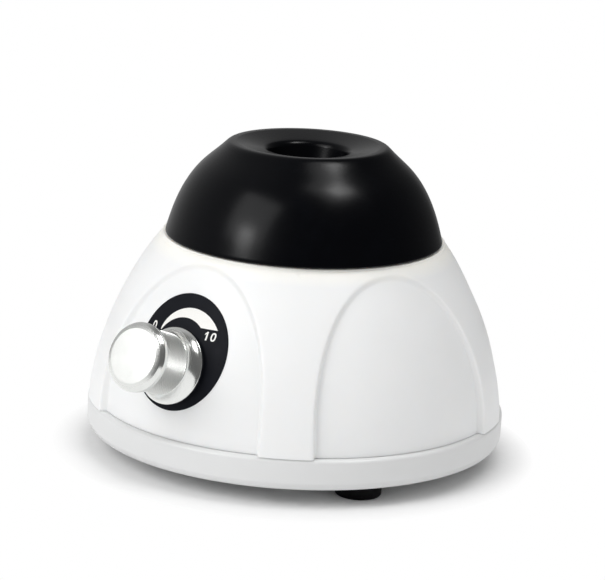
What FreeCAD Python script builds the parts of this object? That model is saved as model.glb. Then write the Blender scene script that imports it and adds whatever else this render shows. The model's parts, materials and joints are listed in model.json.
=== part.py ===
"""Small bench shaker for test tubes.

A dished rubber cup stands on a moulded housing and orbits on an eccentric
pin that a small motor drives. A knob on the sloping front sets the speed.

Lengths are in millimetres. +Z is up, the dial faces -Y, and the origin lies
on the motor's axis in the plane that the feet stand on. Angles round the
housing are counted from the front, turning towards +X.
"""
import math
import os

import FreeCAD
import Part

Vector = FreeCAD.Vector

# Feet
foot_height = 4.8
foot_radius = 6.9
foot_inset = 13.8
foot_seat_depth = 0.8
foot_flange_radius = 7.2
foot_recess_radius = 3.1
foot_recess_depth = 2.4
foot_screw_length = 8.0
front_foot_angle = 61.2
rear_foot_angle = 115.4

# Base pan, whose rim is the ring round the bottom of the shaker
ring_radius = 62.5
ring_height = 9.35
ring_wall = 2.65
ring_bevel_width = 3.8
ring_bevel_height = 3.2
ring_edge = 0.6
pan_floor = 2.6
pan_rib_count = 12
pan_rib_height = 2.6
rib_thickness = 1.6

# Upper housing, whose side passes through points given as a share of its
# height and a share of its lean from the ring to the lip
lip_radius = 41.9
housing_height = 51.0
housing_wall = 2.6
housing_lip_slope = 37.0
housing_side = ((0, 0), (0.4, 0.165), (0.8, 0.646), (1, 1))
deck_thickness = 2.4
deck_hole_radius = 31.0
spigot_length = 3.5
spigot_wall = 2.3
spigot_overlap = 4.0
parting_gap = 0.12

# Arched recesses round the housing
arch_count = 5
arch_width = 56.0
arch_rise = 42.5
arch_top_gap = 2.9
recess_depth = 1.0

# Screws, named by what they hold
screw_radius = 1.5
motor_screw_radius = 1.25
board_screw_radius = 1.0
screw_clearance = 0.2
thread_clearance = 0.02
housing_screw_angle = 36.0
housing_screw_inset = 10.5
housing_screw_length = 18.0
housing_post_radius = 3.6
housing_boss_radius = 4.4
housing_boss_drop = 1.0
foot_boss_radius = 3.8
ballast_boss_radius = 4.0
screw_head_room = 3.3

# Dial and knob
dial_radius = 16.0
dial_height = 39.1
dial_thickness = 0.4
knob_height = 35.5
knob_tilt = 20.0
knob_gap = 0.35
knob_skirt_radius = 11.2
knob_skirt_length = 4.9
knob_skirt_bore = 6.6
knob_grip_radius = 9.0
knob_cap_radius = 9.96
knob_cap_length = 3.2
knob_face_radius = 8.5
knob_length = 18.2
knob_bore_start = 5.0
knob_bore_end = 14.2
knob_set_screw_height = 9.0
knob_set_screw_length = 4.8
knurl_count = 60
knurl_depth = 0.4

# Potentiometer behind the dial
pot_radius = 8.5
pot_depth = 9.0
pot_wall = 1.2
pot_bushing_radius = 3.5
pot_bushing_length = 4.4
pot_shaft_radius = 3.0
pot_seat_depth = 4.0
pot_pad_rim = 1.0
pot_washer_radius = 5.5
pot_washer_thickness = 0.5
pot_washer_gap = 0.05
pot_nut_width = 10.0
pot_nut_thickness = 2.0
pot_wiper_radius = 6.0
pot_wiper_depth = 5.0
pot_wiper_thickness = 1.5
pot_terminal_spacing = 5.0
pot_terminal_depth = 6.6
pot_terminal_reach = 5.0
pot_terminal_width = 1.2

# Power socket at the rear
jack_height = 22.2
jack_inset = 1.6
jack_barrel_radius = 5.4
jack_flange_radius = 6.8
jack_flange_thickness = 1.3
jack_depth = 12.0
jack_pad_thickness = 4.3
jack_nut_width = 14.0
jack_nut_thickness = 2.3
jack_socket_radius = 2.85
jack_socket_depth = 9.0
jack_pin_radius = 1.05
jack_tab_offset = 3.3
jack_tab_reach = 3.0

# Ballast plate
ballast_inset = 18.5
ballast_hole_radius = 18.0
ballast_thickness = 6.0
ballast_gap = 1.6
ballast_screw_circle = 33.0
ballast_screw_length = 9.0

# Motor and its bracket
motor_radius = 13.85
motor_can_wall = 1.05
motor_shaft_radius = 1.15
motor_floor_gap = 2.0
motor_bell_height = 3.0
motor_bell_room = 9.0
motor_boss_radius = 5.0
motor_boss_height = 1.6
motor_screw_offset = 8.0
motor_screw_length = 4.5
bushing_radius = 3.0
upper_bushing_length = 4.0
lower_bushing_length = 2.6
magnet_thickness = 2.4
magnet_start = 9.0
magnet_end = 7.0
core_radius = 9.6
core_start = 12.0
core_end = 9.0
core_slot_width = 2.2
core_pocket_radius = 2.6
core_pocket_circle = 5.6
winding_radius = 8.4
winding_height = 2.6
commutator_radius = 3.3
commutator_start = 3.2
commutator_length = 5.0
brush_offset = 7.0
brush_height = 6.5
brush_arm_thickness = 1.6
brush_tab_reach = 5.0
brush_tab_width = 4.0
brush_tab_thickness = 0.5
bracket_radius = 34.0
bracket_thickness = 2.0
bracket_window_radius = 3.2
bracket_window_circle = 15.08
bracket_screw_grip = 7.0
standoff_circle = 27.0
standoff_width = 5.5
standoff_angles = (0, 120, 240)
isolator_radius = 6.0
isolator_neck_radius = 4.0
isolator_below = 3.0
isolator_above = 2.0
guide_circle = 26.0
guide_angles = (60, 180, 300)
guide_pin_radius = 1.5
guide_sleeve_radius = 2.5

# Eccentric drive
throw = 2.0
throw_angle = 37.7
hub_radius = 9.0
hub_height = 6.0
hub_gap = 2.4
pin_radius = 3.0
pin_shoulder = 1.6
pin_end = 1.9
pin_foot_rim = 1.2
clip_groove_height = 0.8
counterweight_radius = 19.0
counterweight_span = 150.0
counterweight_screw_angle = 40.0
counterweight_screw_depth = 3.5
counterweight_head_radius = 2.3
counterweight_head_height = 1.6

# Ball bearing on the eccentric pin
bearing_outer_radius = 9.5
bearing_width = 6.0
ball_radius = 1.75
ball_count = 7
cage_height = 4.4
cage_thickness = 1.0
race_thickness = 2.0
race_clearance = 0.03

# Cup carrier, and rubber cup whose side is given like the housing's
carrier_lift = 7.35
carrier_radius = 33.5
carrier_thickness = 4.5
carrier_hub_radius = 13.5
carrier_bore = 8.3
retainer_radius = 14.5
retainer_height = 0.5
retainer_thickness = 0.8
retainer_bore = 8.0
retainer_screw_circle = 12.0
retainer_screw_length = 4.5
cup_gap = 0.4
cup_base_radius = 41.2
cup_crest_radius = 23.0
cup_height = 28.0
cup_side = ((0, 0), (0.316, 0.15), (0.744, 0.556), (1, 1))
cup_wall = 3.0
cup_roof = 4.0
cup_shelf = 14.0
cup_screw_circle = 29.0
cup_screw_length = 8.0
insert_radius = 2.6
insert_length = 5.0
dish_depth = 1.0
well_mouth_radius = 11.8
well_floor_radius = 9.4
well_depth = 12.0

# Circuit board
board_width = 44.0
board_length = 21.0
board_front = 18.0
board_thickness = 1.6
board_height = 5.0
board_screw_inset = 4.0
board_screw_grip = 4.0
spacer_radius = 2.4
clamp_depth = 5.5
clamp_height = 5.0
clamp_width = 10.0
motor_clamp_left = 2.0
knob_clamp_start = 6.5
knob_clamp_width = 7.0
chip_left = -2.5
chip_width = 8.5
chip_length = 6.5
chip_height = 2.2
capacitor_inset = 9.0
capacitor_radius = 4.0
capacitor_height = 11.0
transistor_thickness = 4.4
transistor_leg_pitch = 2.5
heat_sink_inset = 6.0
heat_sink_width = 12.0
heat_sink_height = 14.0
heat_sink_depth = 4.5
heat_sink_plate = 1.4
heat_sink_fin = 0.8
heat_sink_fin_count = 4
lead_radius = 0.6
lead_loop = 4.0

# Running clearance of a shaft in its bearing, on the radius
running_fit = 0.03

# Heights from the bench up to the deck
ring_top = foot_height + ring_height
floor_top = foot_height + pan_floor
boss_top = ring_top - housing_boss_drop
deck_top = ring_top + housing_height
ballast_bottom = floor_top + ballast_gap
ballast_top = ballast_bottom + ballast_thickness
board_bottom = ballast_top + board_height
board_top = board_bottom + board_thickness
clamp_middle = board_top + clamp_height / 2
clamp_top = board_top + clamp_height

# Heights of the cup, and of the drive that hangs below it
cup_bottom = deck_top + cup_gap
cup_top = cup_bottom + cup_height
well_floor = cup_top - dish_depth - well_depth
carrier_top = deck_top + carrier_lift
carrier_bottom = carrier_top - carrier_thickness
bearing_top = carrier_top + retainer_height
bearing_bottom = bearing_top - bearing_width
bearing_middle = bearing_top - bearing_width / 2
hub_top = bearing_bottom - pin_shoulder
hub_bottom = hub_top - hub_height
bracket_top = hub_bottom - hub_gap
motor_top = bracket_top - bracket_thickness
motor_bottom = ballast_top + motor_floor_gap
standoff_top = motor_top - isolator_below

# Radii and places that follow
ring_inner = ring_radius - ring_wall
foot_circle = ring_radius - foot_inset
housing_screw_circle = ring_radius - housing_screw_inset
ballast_radius = ring_radius - ballast_inset
jack_seat = ring_radius - jack_inset
can_inner = motor_radius - motor_can_wall
ball_circle = (pin_radius + bearing_outer_radius) / 2
board_rear = board_front + board_length
board_middle = board_front + board_length / 2
heat_sink_left = -board_width / 2 + heat_sink_inset
heat_sink_right = heat_sink_left + heat_sink_width
socket_clamp_left = heat_sink_right + 1


def polar(radius, angle):
    """Place on a circle round the motor's axis, as x and y."""
    turn = math.radians(angle)
    return radius * math.sin(turn), -radius * math.cos(turn)


def cylinder(radius, low, high, x=0.0, y=0.0):
    return Part.makeCylinder(radius, high - low, Vector(x, y, low))


def tube(outer, inner, low, high, x=0.0, y=0.0):
    bore = cylinder(inner, low - 1, high + 1, x, y)
    return cylinder(outer, low, high, x, y).cut(bore)


def block(x_low, x_high, y_low, y_high, z_low, z_high):
    corner = Vector(x_low, y_low, z_low)
    return Part.makeBox(x_high - x_low, y_high - y_low, z_high - z_low, corner)


def turned(outline, x=0.0, y=0.0):
    """Solid of revolution from a closed outline of radius and height."""
    points = [Vector(radius, 0, height) for radius, height in outline]
    face = Part.Face(Part.makePolygon(points + points[:1]))
    solid = face.revolve(Vector(0, 0, 0), Vector(0, 0, 1), 360)
    solid.translate(Vector(x, y, 0))
    return solid


def hexagon(across_flats, low, high, x=0.0, y=0.0):
    corner = across_flats / math.sqrt(3)
    points = []
    for step in range(7):
        turn = math.radians(60 * step)
        points.append(Vector(x + corner * math.cos(turn), y + corner * math.sin(turn), low))
    return Part.Face(Part.makePolygon(points)).extrude(Vector(0, 0, high - low))


def fused(shapes):
    return shapes[0].multiFuse(shapes[1:]).removeSplitter()


def screw(seat, length, upwards, radius=screw_radius, x=0.0, y=0.0):
    """Round-headed screw whose head rests on the seat height."""
    head_radius = 1.85 * radius
    head_height = 1.2 * radius
    if upwards:
        head = cylinder(head_radius, seat - head_height, seat, x, y)
        shank = cylinder(radius, seat - 0.5, seat + length, x, y)
    else:
        head = cylinder(head_radius, seat, seat + head_height, x, y)
        shank = cylinder(radius, seat - length, seat + 0.5, x, y)
    return head.fuse(shank).removeSplitter()


def on_circle(make, radius, angles):
    """Copies of one small piece on a circle, kept as one group."""
    return Part.makeCompound([make(*polar(radius, angle)) for angle in angles])


def on_knob_axis(shape):
    """Carry a shape drawn along +Z at the origin to the tilted knob axis."""
    moved = shape.copy()
    moved.rotate(Vector(0, 0, 0), Vector(1, 0, 0), 90 - knob_tilt)
    moved.translate(Vector(0, -housing_radius_at(knob_height), knob_height))
    return moved


def on_jack_axis(shape):
    """Carry a shape drawn along +Z at the origin to the socket's seat."""
    moved = shape.copy()
    moved.rotate(Vector(0, 0, 0), Vector(1, 0, 0), -90)
    moved.translate(Vector(0, jack_seat, jack_height))
    return moved


def on_pin_axis(shape):
    """Move a shape from the motor's axis to the eccentric pin's axis."""
    moved = shape.copy()
    moved.translate(Vector(*polar(throw, throw_angle), 0))
    return moved


# The housing's skin and the pieces that follow it

def housing_curve(inset):
    """Side curve of the housing, drawn inset from its pillars."""
    run = ring_radius - lip_radius
    points = []
    for up, inward in housing_side:
        points.append(Vector(ring_radius - inset - run * inward, 0, ring_top + housing_height * up))
    slope = math.radians(90 - housing_lip_slope)
    curve = Part.BSplineCurve()
    curve.interpolate(
        Points=points,
        InitialTangent=Vector(0, 0, 1),
        FinalTangent=Vector(-math.cos(slope), 0, math.sin(slope)),
    )
    return curve


def housing_radius_at(height):
    """Radius of the recessed skin at a height."""
    curve = housing_curve(recess_depth)
    low = curve.FirstParameter
    high = curve.LastParameter
    for _ in range(50):
        middle = (low + high) / 2
        if curve.value(middle).z < height:
            low = middle
        else:
            high = middle
    return curve.value(low).x


def housing_volume(inset):
    curve = housing_curve(inset)
    start = curve.value(curve.FirstParameter)
    end = curve.value(curve.LastParameter)
    top = Vector(0, 0, end.z)
    bottom = Vector(0, 0, start.z)
    edges = [
        curve.toShape(),
        Part.makeLine(end, top),
        Part.makeLine(top, bottom),
        Part.makeLine(bottom, start),
    ]
    face = Part.Face(Part.Wire(edges))
    return face.revolve(Vector(0, 0, 0), Vector(0, 0, 1), 360)


def arch_prism(angle):
    """Arch outline pushed through the housing's wall from inside."""
    half = arch_width / 2
    apex = deck_top - arch_top_gap
    spring = apex - arch_rise
    foot = ring_top - 1
    centre = Vector(0, 0, spring)
    ellipse = Part.Ellipse(Vector(0, 0, apex), Vector(half, 0, spring), centre)
    crown = Part.ArcOfEllipse(ellipse, -math.pi / 2, math.pi / 2).toShape()
    left = Vector(-half, 0, spring)
    right = Vector(half, 0, spring)
    edges = [
        crown,
        Part.makeLine(right, Vector(half, 0, foot)),
        Part.makeLine(Vector(half, 0, foot), Vector(-half, 0, foot)),
        Part.makeLine(Vector(-half, 0, foot), left),
    ]
    face = Part.Face(Part.Wire(Part.__sortEdges__(edges)))
    face.translate(Vector(0, -lip_radius / 2, 0))
    prism = face.extrude(Vector(0, -ring_radius, 0))
    prism.rotate(Vector(0, 0, 0), Vector(0, 0, 1), angle)
    return prism


def dial_prism(radius):
    """Round bar along Y that cuts the dial's outline out of the skin."""
    return Part.makeCylinder(radius, ring_radius, Vector(0, -lip_radius / 2, dial_height), Vector(0, -1, 0))


def housing_screw_angles():
    return (
        housing_screw_angle,
        180 - housing_screw_angle,
        180 + housing_screw_angle,
        -housing_screw_angle,
    )


def housing_post(angle):
    """Screw post hanging from the housing's wall, with a rib behind it."""
    x, y = polar(housing_screw_circle, angle)
    inside = housing_volume(recess_depth + housing_wall / 2)
    upper = cylinder(housing_post_radius, ring_top, deck_top, x, y)
    half = rib_thickness / 2
    rib = block(-half, half, -ring_radius, -housing_screw_circle, ring_top, deck_top)
    rib.rotate(Vector(0, 0, 0), Vector(0, 0, 1), angle)
    lower = cylinder(housing_post_radius, boss_top + 0.1, ring_top + 1, x, y)
    return upper.fuse(rib).common(inside).fuse(lower)


def housing_shell():
    """Outer skin with its arched recesses, hollowed from below."""
    skin = housing_volume(0).cut(housing_volume(recess_depth))
    step = 360.0 / arch_count
    recesses = [skin.common(arch_prism(step * number)) for number in range(arch_count)]
    parting = tube(ring_radius + 1, ring_radius - recess_depth, ring_top - 1, ring_top + parting_gap)
    hollow = housing_volume(recess_depth + housing_wall)
    hollow = hollow.common(cylinder(ring_radius, ring_top - 1, deck_top - deck_thickness))
    return housing_volume(0).cut(recesses + [parting, hollow])


def housing_pads():
    """Flat seats inside the wall for the potentiometer and the socket."""
    inside = housing_volume(recess_depth + housing_wall / 2)
    pot_pad = on_knob_axis(cylinder(pot_radius + pot_pad_rim, -pot_seat_depth, 0))
    jack_pad = on_jack_axis(cylinder(jack_barrel_radius + 2.5, -jack_pad_thickness, 0))
    return [pot_pad.common(inside), jack_pad.common(inside)]


def upper_housing():
    spigot_outer = ring_inner - 0.15
    spigot_bottom = ring_top - spigot_length
    spigot = tube(spigot_outer, spigot_outer - spigot_wall, spigot_bottom, ring_top + spigot_overlap)
    additions = [spigot] + housing_pads()
    additions += [housing_post(angle) for angle in housing_screw_angles()]
    solid = housing_shell().multiFuse(additions)
    cuts = [
        cylinder(deck_hole_radius, deck_top - 10, deck_top + 1),
        on_knob_axis(cylinder(pot_bushing_radius + 0.1, -10, 5)),
        on_jack_axis(cylinder(jack_barrel_radius + 0.1, -10, 5)),
        on_jack_axis(cylinder(jack_flange_radius + 0.3, 0, 5)),
        dial_sheet(dial_radius + 0.05),
        washer_seat(),
    ]
    hole_top = floor_top + housing_screw_length + 1
    for angle in housing_screw_angles():
        x, y = polar(housing_screw_circle, angle)
        cuts.append(cylinder(screw_radius + thread_clearance, spigot_bottom - 1, hole_top, x, y))
    return solid.cut(cuts).removeSplitter()


def dial_sheet(radius):
    sheet = housing_volume(recess_depth).cut(housing_volume(recess_depth + dial_thickness))
    return sheet.common(dial_prism(radius))


def washer_seat():
    """Flat place that a washer needs on the curved wall."""
    return on_knob_axis(cylinder(pot_washer_radius + 0.2, pot_washer_gap, 10))


def dial_plate():
    hole = on_knob_axis(cylinder(pot_bushing_radius + 0.1, -10, 10))
    return dial_sheet(dial_radius).cut([hole, washer_seat()])


# Base pan and what stands on it

def pan_outline():
    bevel_start = ring_radius - ring_bevel_width
    bevel_top = foot_height + ring_bevel_height
    return [
        (0, foot_height),
        (bevel_start, foot_height),
        (ring_radius - 0.32 * ring_bevel_width, foot_height + 0.42 * ring_bevel_height),
        (ring_radius, bevel_top),
        (ring_radius, ring_top - ring_edge),
        (ring_radius - ring_edge, ring_top),
        (ring_inner, ring_top),
        (ring_inner, floor_top),
        (0, floor_top),
    ]


def foot_angles():
    return (front_foot_angle, rear_foot_angle, -rear_foot_angle, -front_foot_angle)


def pan_ribs():
    half = rib_thickness / 2
    top = floor_top + pan_rib_height
    ribs = []
    for number in range(pan_rib_count):
        rib = block(-half, half, ballast_radius + 1, ring_inner + 0.5, floor_top - 0.5, top)
        rib.rotate(Vector(0, 0, 0), Vector(0, 0, 1), 360.0 * number / pan_rib_count)
        ribs.append(rib)
    return ribs


def base_pan():
    additions = pan_ribs()
    cuts = []
    root = floor_top - 0.5
    outside = foot_height - 1
    for angle in housing_screw_angles():
        x, y = polar(housing_screw_circle, angle)
        additions.append(cylinder(housing_boss_radius, root, boss_top, x, y))
        cuts.append(cylinder(screw_radius + screw_clearance, outside, boss_top + 1, x, y))
        cuts.append(cylinder(screw_head_room, outside, floor_top, x, y))
    for angle in foot_angles():
        x, y = polar(foot_circle, angle)
        foot_boss_top = boss_top - 1
        additions.append(cylinder(foot_boss_radius, root, foot_boss_top, x, y))
        cuts.append(cylinder(foot_flange_radius + 0.1, outside, foot_height + foot_seat_depth, x, y))
        cuts.append(cylinder(screw_radius + thread_clearance, outside, foot_boss_top - 1, x, y))
    for angle in guide_angles:
        x, y = polar(ballast_screw_circle, angle)
        additions.append(cylinder(ballast_boss_radius, root, ballast_bottom, x, y))
        cuts.append(cylinder(screw_radius + thread_clearance, foot_height + 0.8, ballast_bottom + 1, x, y))
    solid = turned(pan_outline()).multiFuse(additions)
    return solid.cut(cuts).removeSplitter()


def foot(x, y):
    """Rubber foot with a recess for its screw, let into the pan."""
    top = foot_height + foot_seat_depth
    bore = screw_radius + 0.1
    outline = [
        (bore, foot_recess_depth),
        (foot_recess_radius, foot_recess_depth),
        (foot_recess_radius, 0),
        (foot_radius - 0.9, 0),
        (foot_radius - 0.25, 0.25),
        (foot_radius, 0.9),
        (foot_radius, foot_height),
        (foot_flange_radius, foot_height + 0.2),
        (foot_flange_radius, top),
        (bore, top),
    ]
    return turned(outline, x, y)


def ballast_plate():
    plate = tube(ballast_radius, ballast_hole_radius, ballast_bottom, ballast_top)
    low = ballast_bottom - 1
    high = ballast_top + 1
    cuts = []
    for angle in guide_angles:
        x, y = polar(ballast_screw_circle, angle)
        cuts.append(cylinder(screw_radius + screw_clearance, low, high, x, y))
    for angle in standoff_angles:
        x, y = polar(standoff_circle, angle)
        cuts.append(cylinder(screw_radius + thread_clearance, low, high, x, y))
    for x, y in board_corners():
        cuts.append(cylinder(board_screw_radius + thread_clearance, ballast_top - 5, high, x, y))
    return plate.cut(cuts)


# Motor, bracket and guides

def motor_can():
    can = cylinder(motor_radius, motor_bottom + motor_bell_height, motor_top)
    hollow = cylinder(can_inner, motor_bottom + 2, motor_top - motor_can_wall)
    boss = cylinder(motor_boss_radius, motor_top - 0.5, motor_top + motor_boss_height)
    seat = cylinder(bushing_radius, motor_top - 5, motor_top + 5)
    cuts = [hollow, seat]
    for x in (-motor_screw_offset, motor_screw_offset):
        cuts.append(cylinder(motor_screw_radius + thread_clearance, motor_top - 5, motor_top + 5, x))
    return can.fuse(boss).cut(cuts).removeSplitter()


def motor_end_bell():
    low = motor_bottom - 1
    high = motor_bottom + 2 * motor_bell_height
    bell = cylinder(motor_radius, motor_bottom, motor_bottom + motor_bell_height)
    plug = cylinder(can_inner, motor_bottom + 2, motor_bottom + motor_bell_height + 2)
    room = cylinder(motor_bell_room, motor_bottom + 2, high)
    cuts = [room, cylinder(bushing_radius, low, high)]
    for x in (-brush_offset, brush_offset):
        half = brush_tab_thickness / 2 + 0.05
        side = brush_tab_width / 2 + 0.1
        cuts.append(block(x - half, x + half, -side, side, low, high))
    return bell.fuse(plug).cut(cuts).removeSplitter()


def motor_bushings():
    bore = motor_shaft_radius + running_fit
    top = motor_top + motor_boss_height
    upper = tube(bushing_radius, bore, top - upper_bushing_length, top)
    lower = tube(bushing_radius, bore, motor_bottom, motor_bottom + lower_bushing_length)
    return Part.makeCompound([upper, lower])


def motor_magnets():
    low = motor_bottom + magnet_start
    high = motor_top - magnet_end
    shell = tube(can_inner, can_inner - magnet_thickness, low, high)
    return shell.cut(block(-motor_radius, motor_radius, -3, 3, low - 1, high + 1))


def motor_terminals():
    """Brush springs that come out below the motor as solder tabs."""
    tabs = []
    top = motor_bottom + brush_height
    half = brush_tab_thickness / 2
    width = brush_tab_width / 2
    for side in (-1, 1):
        x = brush_offset * side
        tab = block(x - half, x + half, -width, width, motor_bottom - brush_tab_reach, top)
        tip = (commutator_radius + 0.35) * side
        arm = block(min(tip, x), max(tip, x), -0.8, 0.8, top - brush_arm_thickness, top)
        tabs.append(tab.fuse(arm).removeSplitter())
    return Part.makeCompound(tabs)


def motor_bracket():
    """Round steel plate that the motor hangs from, with windows between its holes."""
    low = motor_top - 1
    high = bracket_top + 1
    cuts = [cylinder(motor_boss_radius + 0.1, low, high)]
    for angle in standoff_angles:
        x, y = polar(standoff_circle, angle)
        cuts.append(cylinder(isolator_neck_radius + 0.05, low, high, x, y))
    for angle in guide_angles:
        x, y = polar(guide_circle, angle)
        cuts.append(cylinder(guide_pin_radius + 0.01, low, high, x, y))
        x, y = polar(bracket_window_circle, angle + 30)
        cuts.append(cylinder(bracket_window_radius, low, high, x, y))
    for x in (-motor_screw_offset, motor_screw_offset):
        cuts.append(cylinder(motor_screw_radius + 0.15, low, high, x))
    return cylinder(bracket_radius, motor_top, bracket_top).cut(cuts)


def standoff(x, y):
    """Hexagonal post with a stud that screws into the ballast plate."""
    body = hexagon(standoff_width, ballast_top, standoff_top, x, y)
    stud = cylinder(screw_radius, ballast_bottom + 1, ballast_top + 0.5, x, y)
    hole = cylinder(screw_radius + thread_clearance, standoff_top - 9, standoff_top + 1, x, y)
    return body.fuse(stud).cut(hole).removeSplitter()


def isolator(x, y):
    """Rubber grommet that carries the bracket without touching the post."""
    bore = screw_radius + 0.1
    top = bracket_top + isolator_above
    outline = [
        (bore, standoff_top),
        (isolator_radius, standoff_top),
        (isolator_radius, motor_top),
        (isolator_neck_radius, motor_top),
        (isolator_neck_radius, bracket_top),
        (isolator_radius, bracket_top),
        (isolator_radius, top),
        (bore, top),
    ]
    return turned(outline, x, y)


def guide_pin(x, y):
    return cylinder(guide_pin_radius, motor_top, carrier_top - 1, x, y)


def guide_sleeve(x, y):
    return tube(guide_sleeve_radius, guide_pin_radius + thread_clearance, bracket_top, carrier_top - 1, x, y)


# Rotor and eccentric crank

def motor_shaft():
    return cylinder(motor_shaft_radius, motor_bottom + 0.4, hub_top - 0.5)


def armature_core():
    """Three-pole stack of laminations."""
    low = motor_bottom + core_start
    high = motor_top - core_end
    cuts = []
    for pole in range(3):
        half = core_slot_width / 2
        slot = block(-half, half, core_pocket_circle, core_radius + 1, low - 1, high + 1)
        pocket = cylinder(core_pocket_radius, low - 1, high + 1, 0, core_pocket_circle)
        for cut in (slot, pocket):
            cut.rotate(Vector(0, 0, 0), Vector(0, 0, 1), 120 * pole)
            cuts.append(cut)
    return tube(core_radius, motor_shaft_radius, low, high).cut(cuts)


def armature_windings():
    """Coil ends above and below the stack."""
    low = motor_bottom + core_start
    high = motor_top - core_end
    inner = commutator_radius + 0.1
    below = tube(winding_radius, inner, low - winding_height, low)
    above = tube(winding_radius, inner, high, high + winding_height)
    return Part.makeCompound([below, above])


def commutator():
    low = motor_bottom + commutator_start
    return tube(commutator_radius, motor_shaft_radius, low, low + commutator_length)


def eccentric_hub():
    """Steel hub on the shaft, with the crank pin standing beside its axis."""
    x, y = polar(throw, throw_angle)
    groove_low = bearing_top + 0.2
    solid = fused([
        cylinder(hub_radius, hub_bottom, hub_top),
        cylinder(pin_radius + pin_foot_rim, hub_top - 1, bearing_bottom, x, y),
        cylinder(pin_radius, bearing_bottom - 1, bearing_top + pin_end, x, y),
    ])
    cuts = [
        cylinder(motor_shaft_radius, hub_bottom - 1, hub_top - 0.5),
        tube(pin_radius + 1, pin_radius - 0.5, groove_low, groove_low + clip_groove_height, x, y),
        radial_bar(screw_radius + thread_clearance, 0, hub_radius + 1, throw_angle),
    ]
    for angle in counterweight_screw_angles():
        cuts.append(radial_bar(motor_screw_radius + thread_clearance, 4.2, hub_radius + 1, angle))
    return solid.cut(cuts).removeSplitter()


def counterweight_screw_angles():
    middle = throw_angle + 180
    return (middle - counterweight_screw_angle, middle + counterweight_screw_angle)


def radial_bar(radius, start, end, angle):
    """Horizontal bar from one distance to another at the hub's mid height."""
    x, y = polar(start, angle)
    middle = (hub_bottom + hub_top) / 2
    direction = Vector(*polar(1, angle), 0)
    return Part.makeCylinder(radius, end - start, Vector(x, y, middle), direction)


def counterweight():
    """Steel sector that balances the cup on the far side of the hub."""
    low = hub_bottom + 0.5
    height = hub_height - 1
    half = counterweight_span / 2
    upwards = Vector(0, 0, 1)
    sector = Part.makeCylinder(counterweight_radius, height, Vector(0, 0, low), upwards, counterweight_span)
    sector.rotate(Vector(0, 0, 0), upwards, throw_angle + 90 - half)
    cuts = [cylinder(hub_radius, hub_bottom, hub_top)]
    edge = counterweight_radius + 1
    for angle in counterweight_screw_angles():
        cuts.append(radial_bar(motor_screw_radius + screw_clearance, hub_radius - 1, edge, angle))
        seat = counterweight_radius - counterweight_screw_depth
        cuts.append(radial_bar(counterweight_head_radius + 0.1, seat, edge, angle))
    return sector.cut(cuts)


def counterweight_screws():
    seat = counterweight_radius - counterweight_screw_depth
    screws = []
    for angle in counterweight_screw_angles():
        shank = radial_bar(motor_screw_radius, 4.5, seat + 0.5, angle)
        head = radial_bar(counterweight_head_radius, seat, seat + counterweight_head_height, angle)
        screws.append(shank.fuse(head).removeSplitter())
    return Part.makeCompound(screws)


def hub_set_screw():
    return radial_bar(screw_radius, motor_shaft_radius, hub_radius - 1.5, throw_angle)


def pin_clip():
    """Spring clip that holds the bearing down on its pin."""
    low = bearing_top + 0.2
    clip = tube(pin_radius + 1.6, pin_radius - 0.5, low, low + clip_groove_height - 0.1)
    mouth = block(-1.6, 1.6, 0, 10, low - 1, low + 2)
    return on_pin_axis(clip.cut(mouth))


# Ball bearing, drawn on the motor's axis and moved to the pin

def race(outer, inner):
    ring = tube(outer, inner, bearing_bottom, bearing_top)
    middle = Vector(0, 0, bearing_middle)
    groove = Part.makeTorus(ball_circle, ball_radius + race_clearance, middle, Vector(0, 0, 1))
    return on_pin_axis(ring.cut(groove))


def bearing_inner_race():
    return race(pin_radius + race_thickness, pin_radius)


def bearing_outer_race():
    return race(bearing_outer_radius, bearing_outer_radius - race_thickness)


def ball_places():
    return [polar(ball_circle, 360.0 * number / ball_count) for number in range(ball_count)]


def bearing_balls():
    balls = [Part.makeSphere(ball_radius, Vector(x, y, bearing_middle)) for x, y in ball_places()]
    return on_pin_axis(Part.makeCompound(balls))


def bearing_cage():
    """Band between the races with a round pocket for each ball."""
    low = bearing_middle - cage_height / 2
    half = cage_thickness / 2
    band = tube(ball_circle + half, ball_circle - half, low, low + cage_height)
    pockets = []
    for x, y in ball_places():
        start = Vector(x / 2, y / 2, bearing_middle)
        pockets.append(Part.makeCylinder(ball_radius + 0.05, ball_circle, start, Vector(x, y, 0)))
    return on_pin_axis(band.cut(pockets))


# Cup and the carrier below it

def cup_carrier():
    """Stiff disc that holds the bearing and slides round the guides."""
    hub_floor = bearing_bottom - 1
    outline = [
        (carrier_bore, hub_floor),
        (carrier_hub_radius, hub_floor),
        (carrier_hub_radius + 1.5, carrier_bottom),
        (carrier_radius - 1, carrier_bottom),
        (carrier_radius, carrier_bottom + 1),
        (carrier_radius, carrier_top),
        (bearing_outer_radius, carrier_top),
        (bearing_outer_radius, bearing_bottom),
        (carrier_bore, bearing_bottom),
    ]
    low = carrier_bottom - 1
    high = carrier_top + 1
    cuts = []
    for angle in guide_angles:
        x, y = polar(guide_circle, angle)
        cuts.append(cylinder(guide_sleeve_radius + throw + 0.35, low, high, x, y))
    for angle in standoff_angles:
        x, y = polar(cup_screw_circle, angle)
        cuts.append(cylinder(motor_screw_radius + screw_clearance, low, high, x, y))
        x, y = polar(retainer_screw_circle, angle)
        hole_bottom = carrier_top - retainer_screw_length
        cuts.append(cylinder(board_screw_radius + thread_clearance, hole_bottom, high, x, y))
    return on_pin_axis(turned(outline).cut(cuts))


def bearing_retainer():
    """Thin ring screwed down over the bearing's outer race."""
    top = bearing_top + retainer_thickness
    plate = tube(retainer_radius, retainer_bore, bearing_top, top)
    collar = tube(retainer_radius, bearing_outer_radius + 0.1, carrier_top, bearing_top)
    cuts = []
    for angle in standoff_angles:
        x, y = polar(retainer_screw_circle, angle)
        cuts.append(cylinder(board_screw_radius + screw_clearance, carrier_top - 1, top + 1, x, y))
    return on_pin_axis(plate.fuse(collar).cut(cuts).removeSplitter())


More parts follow.
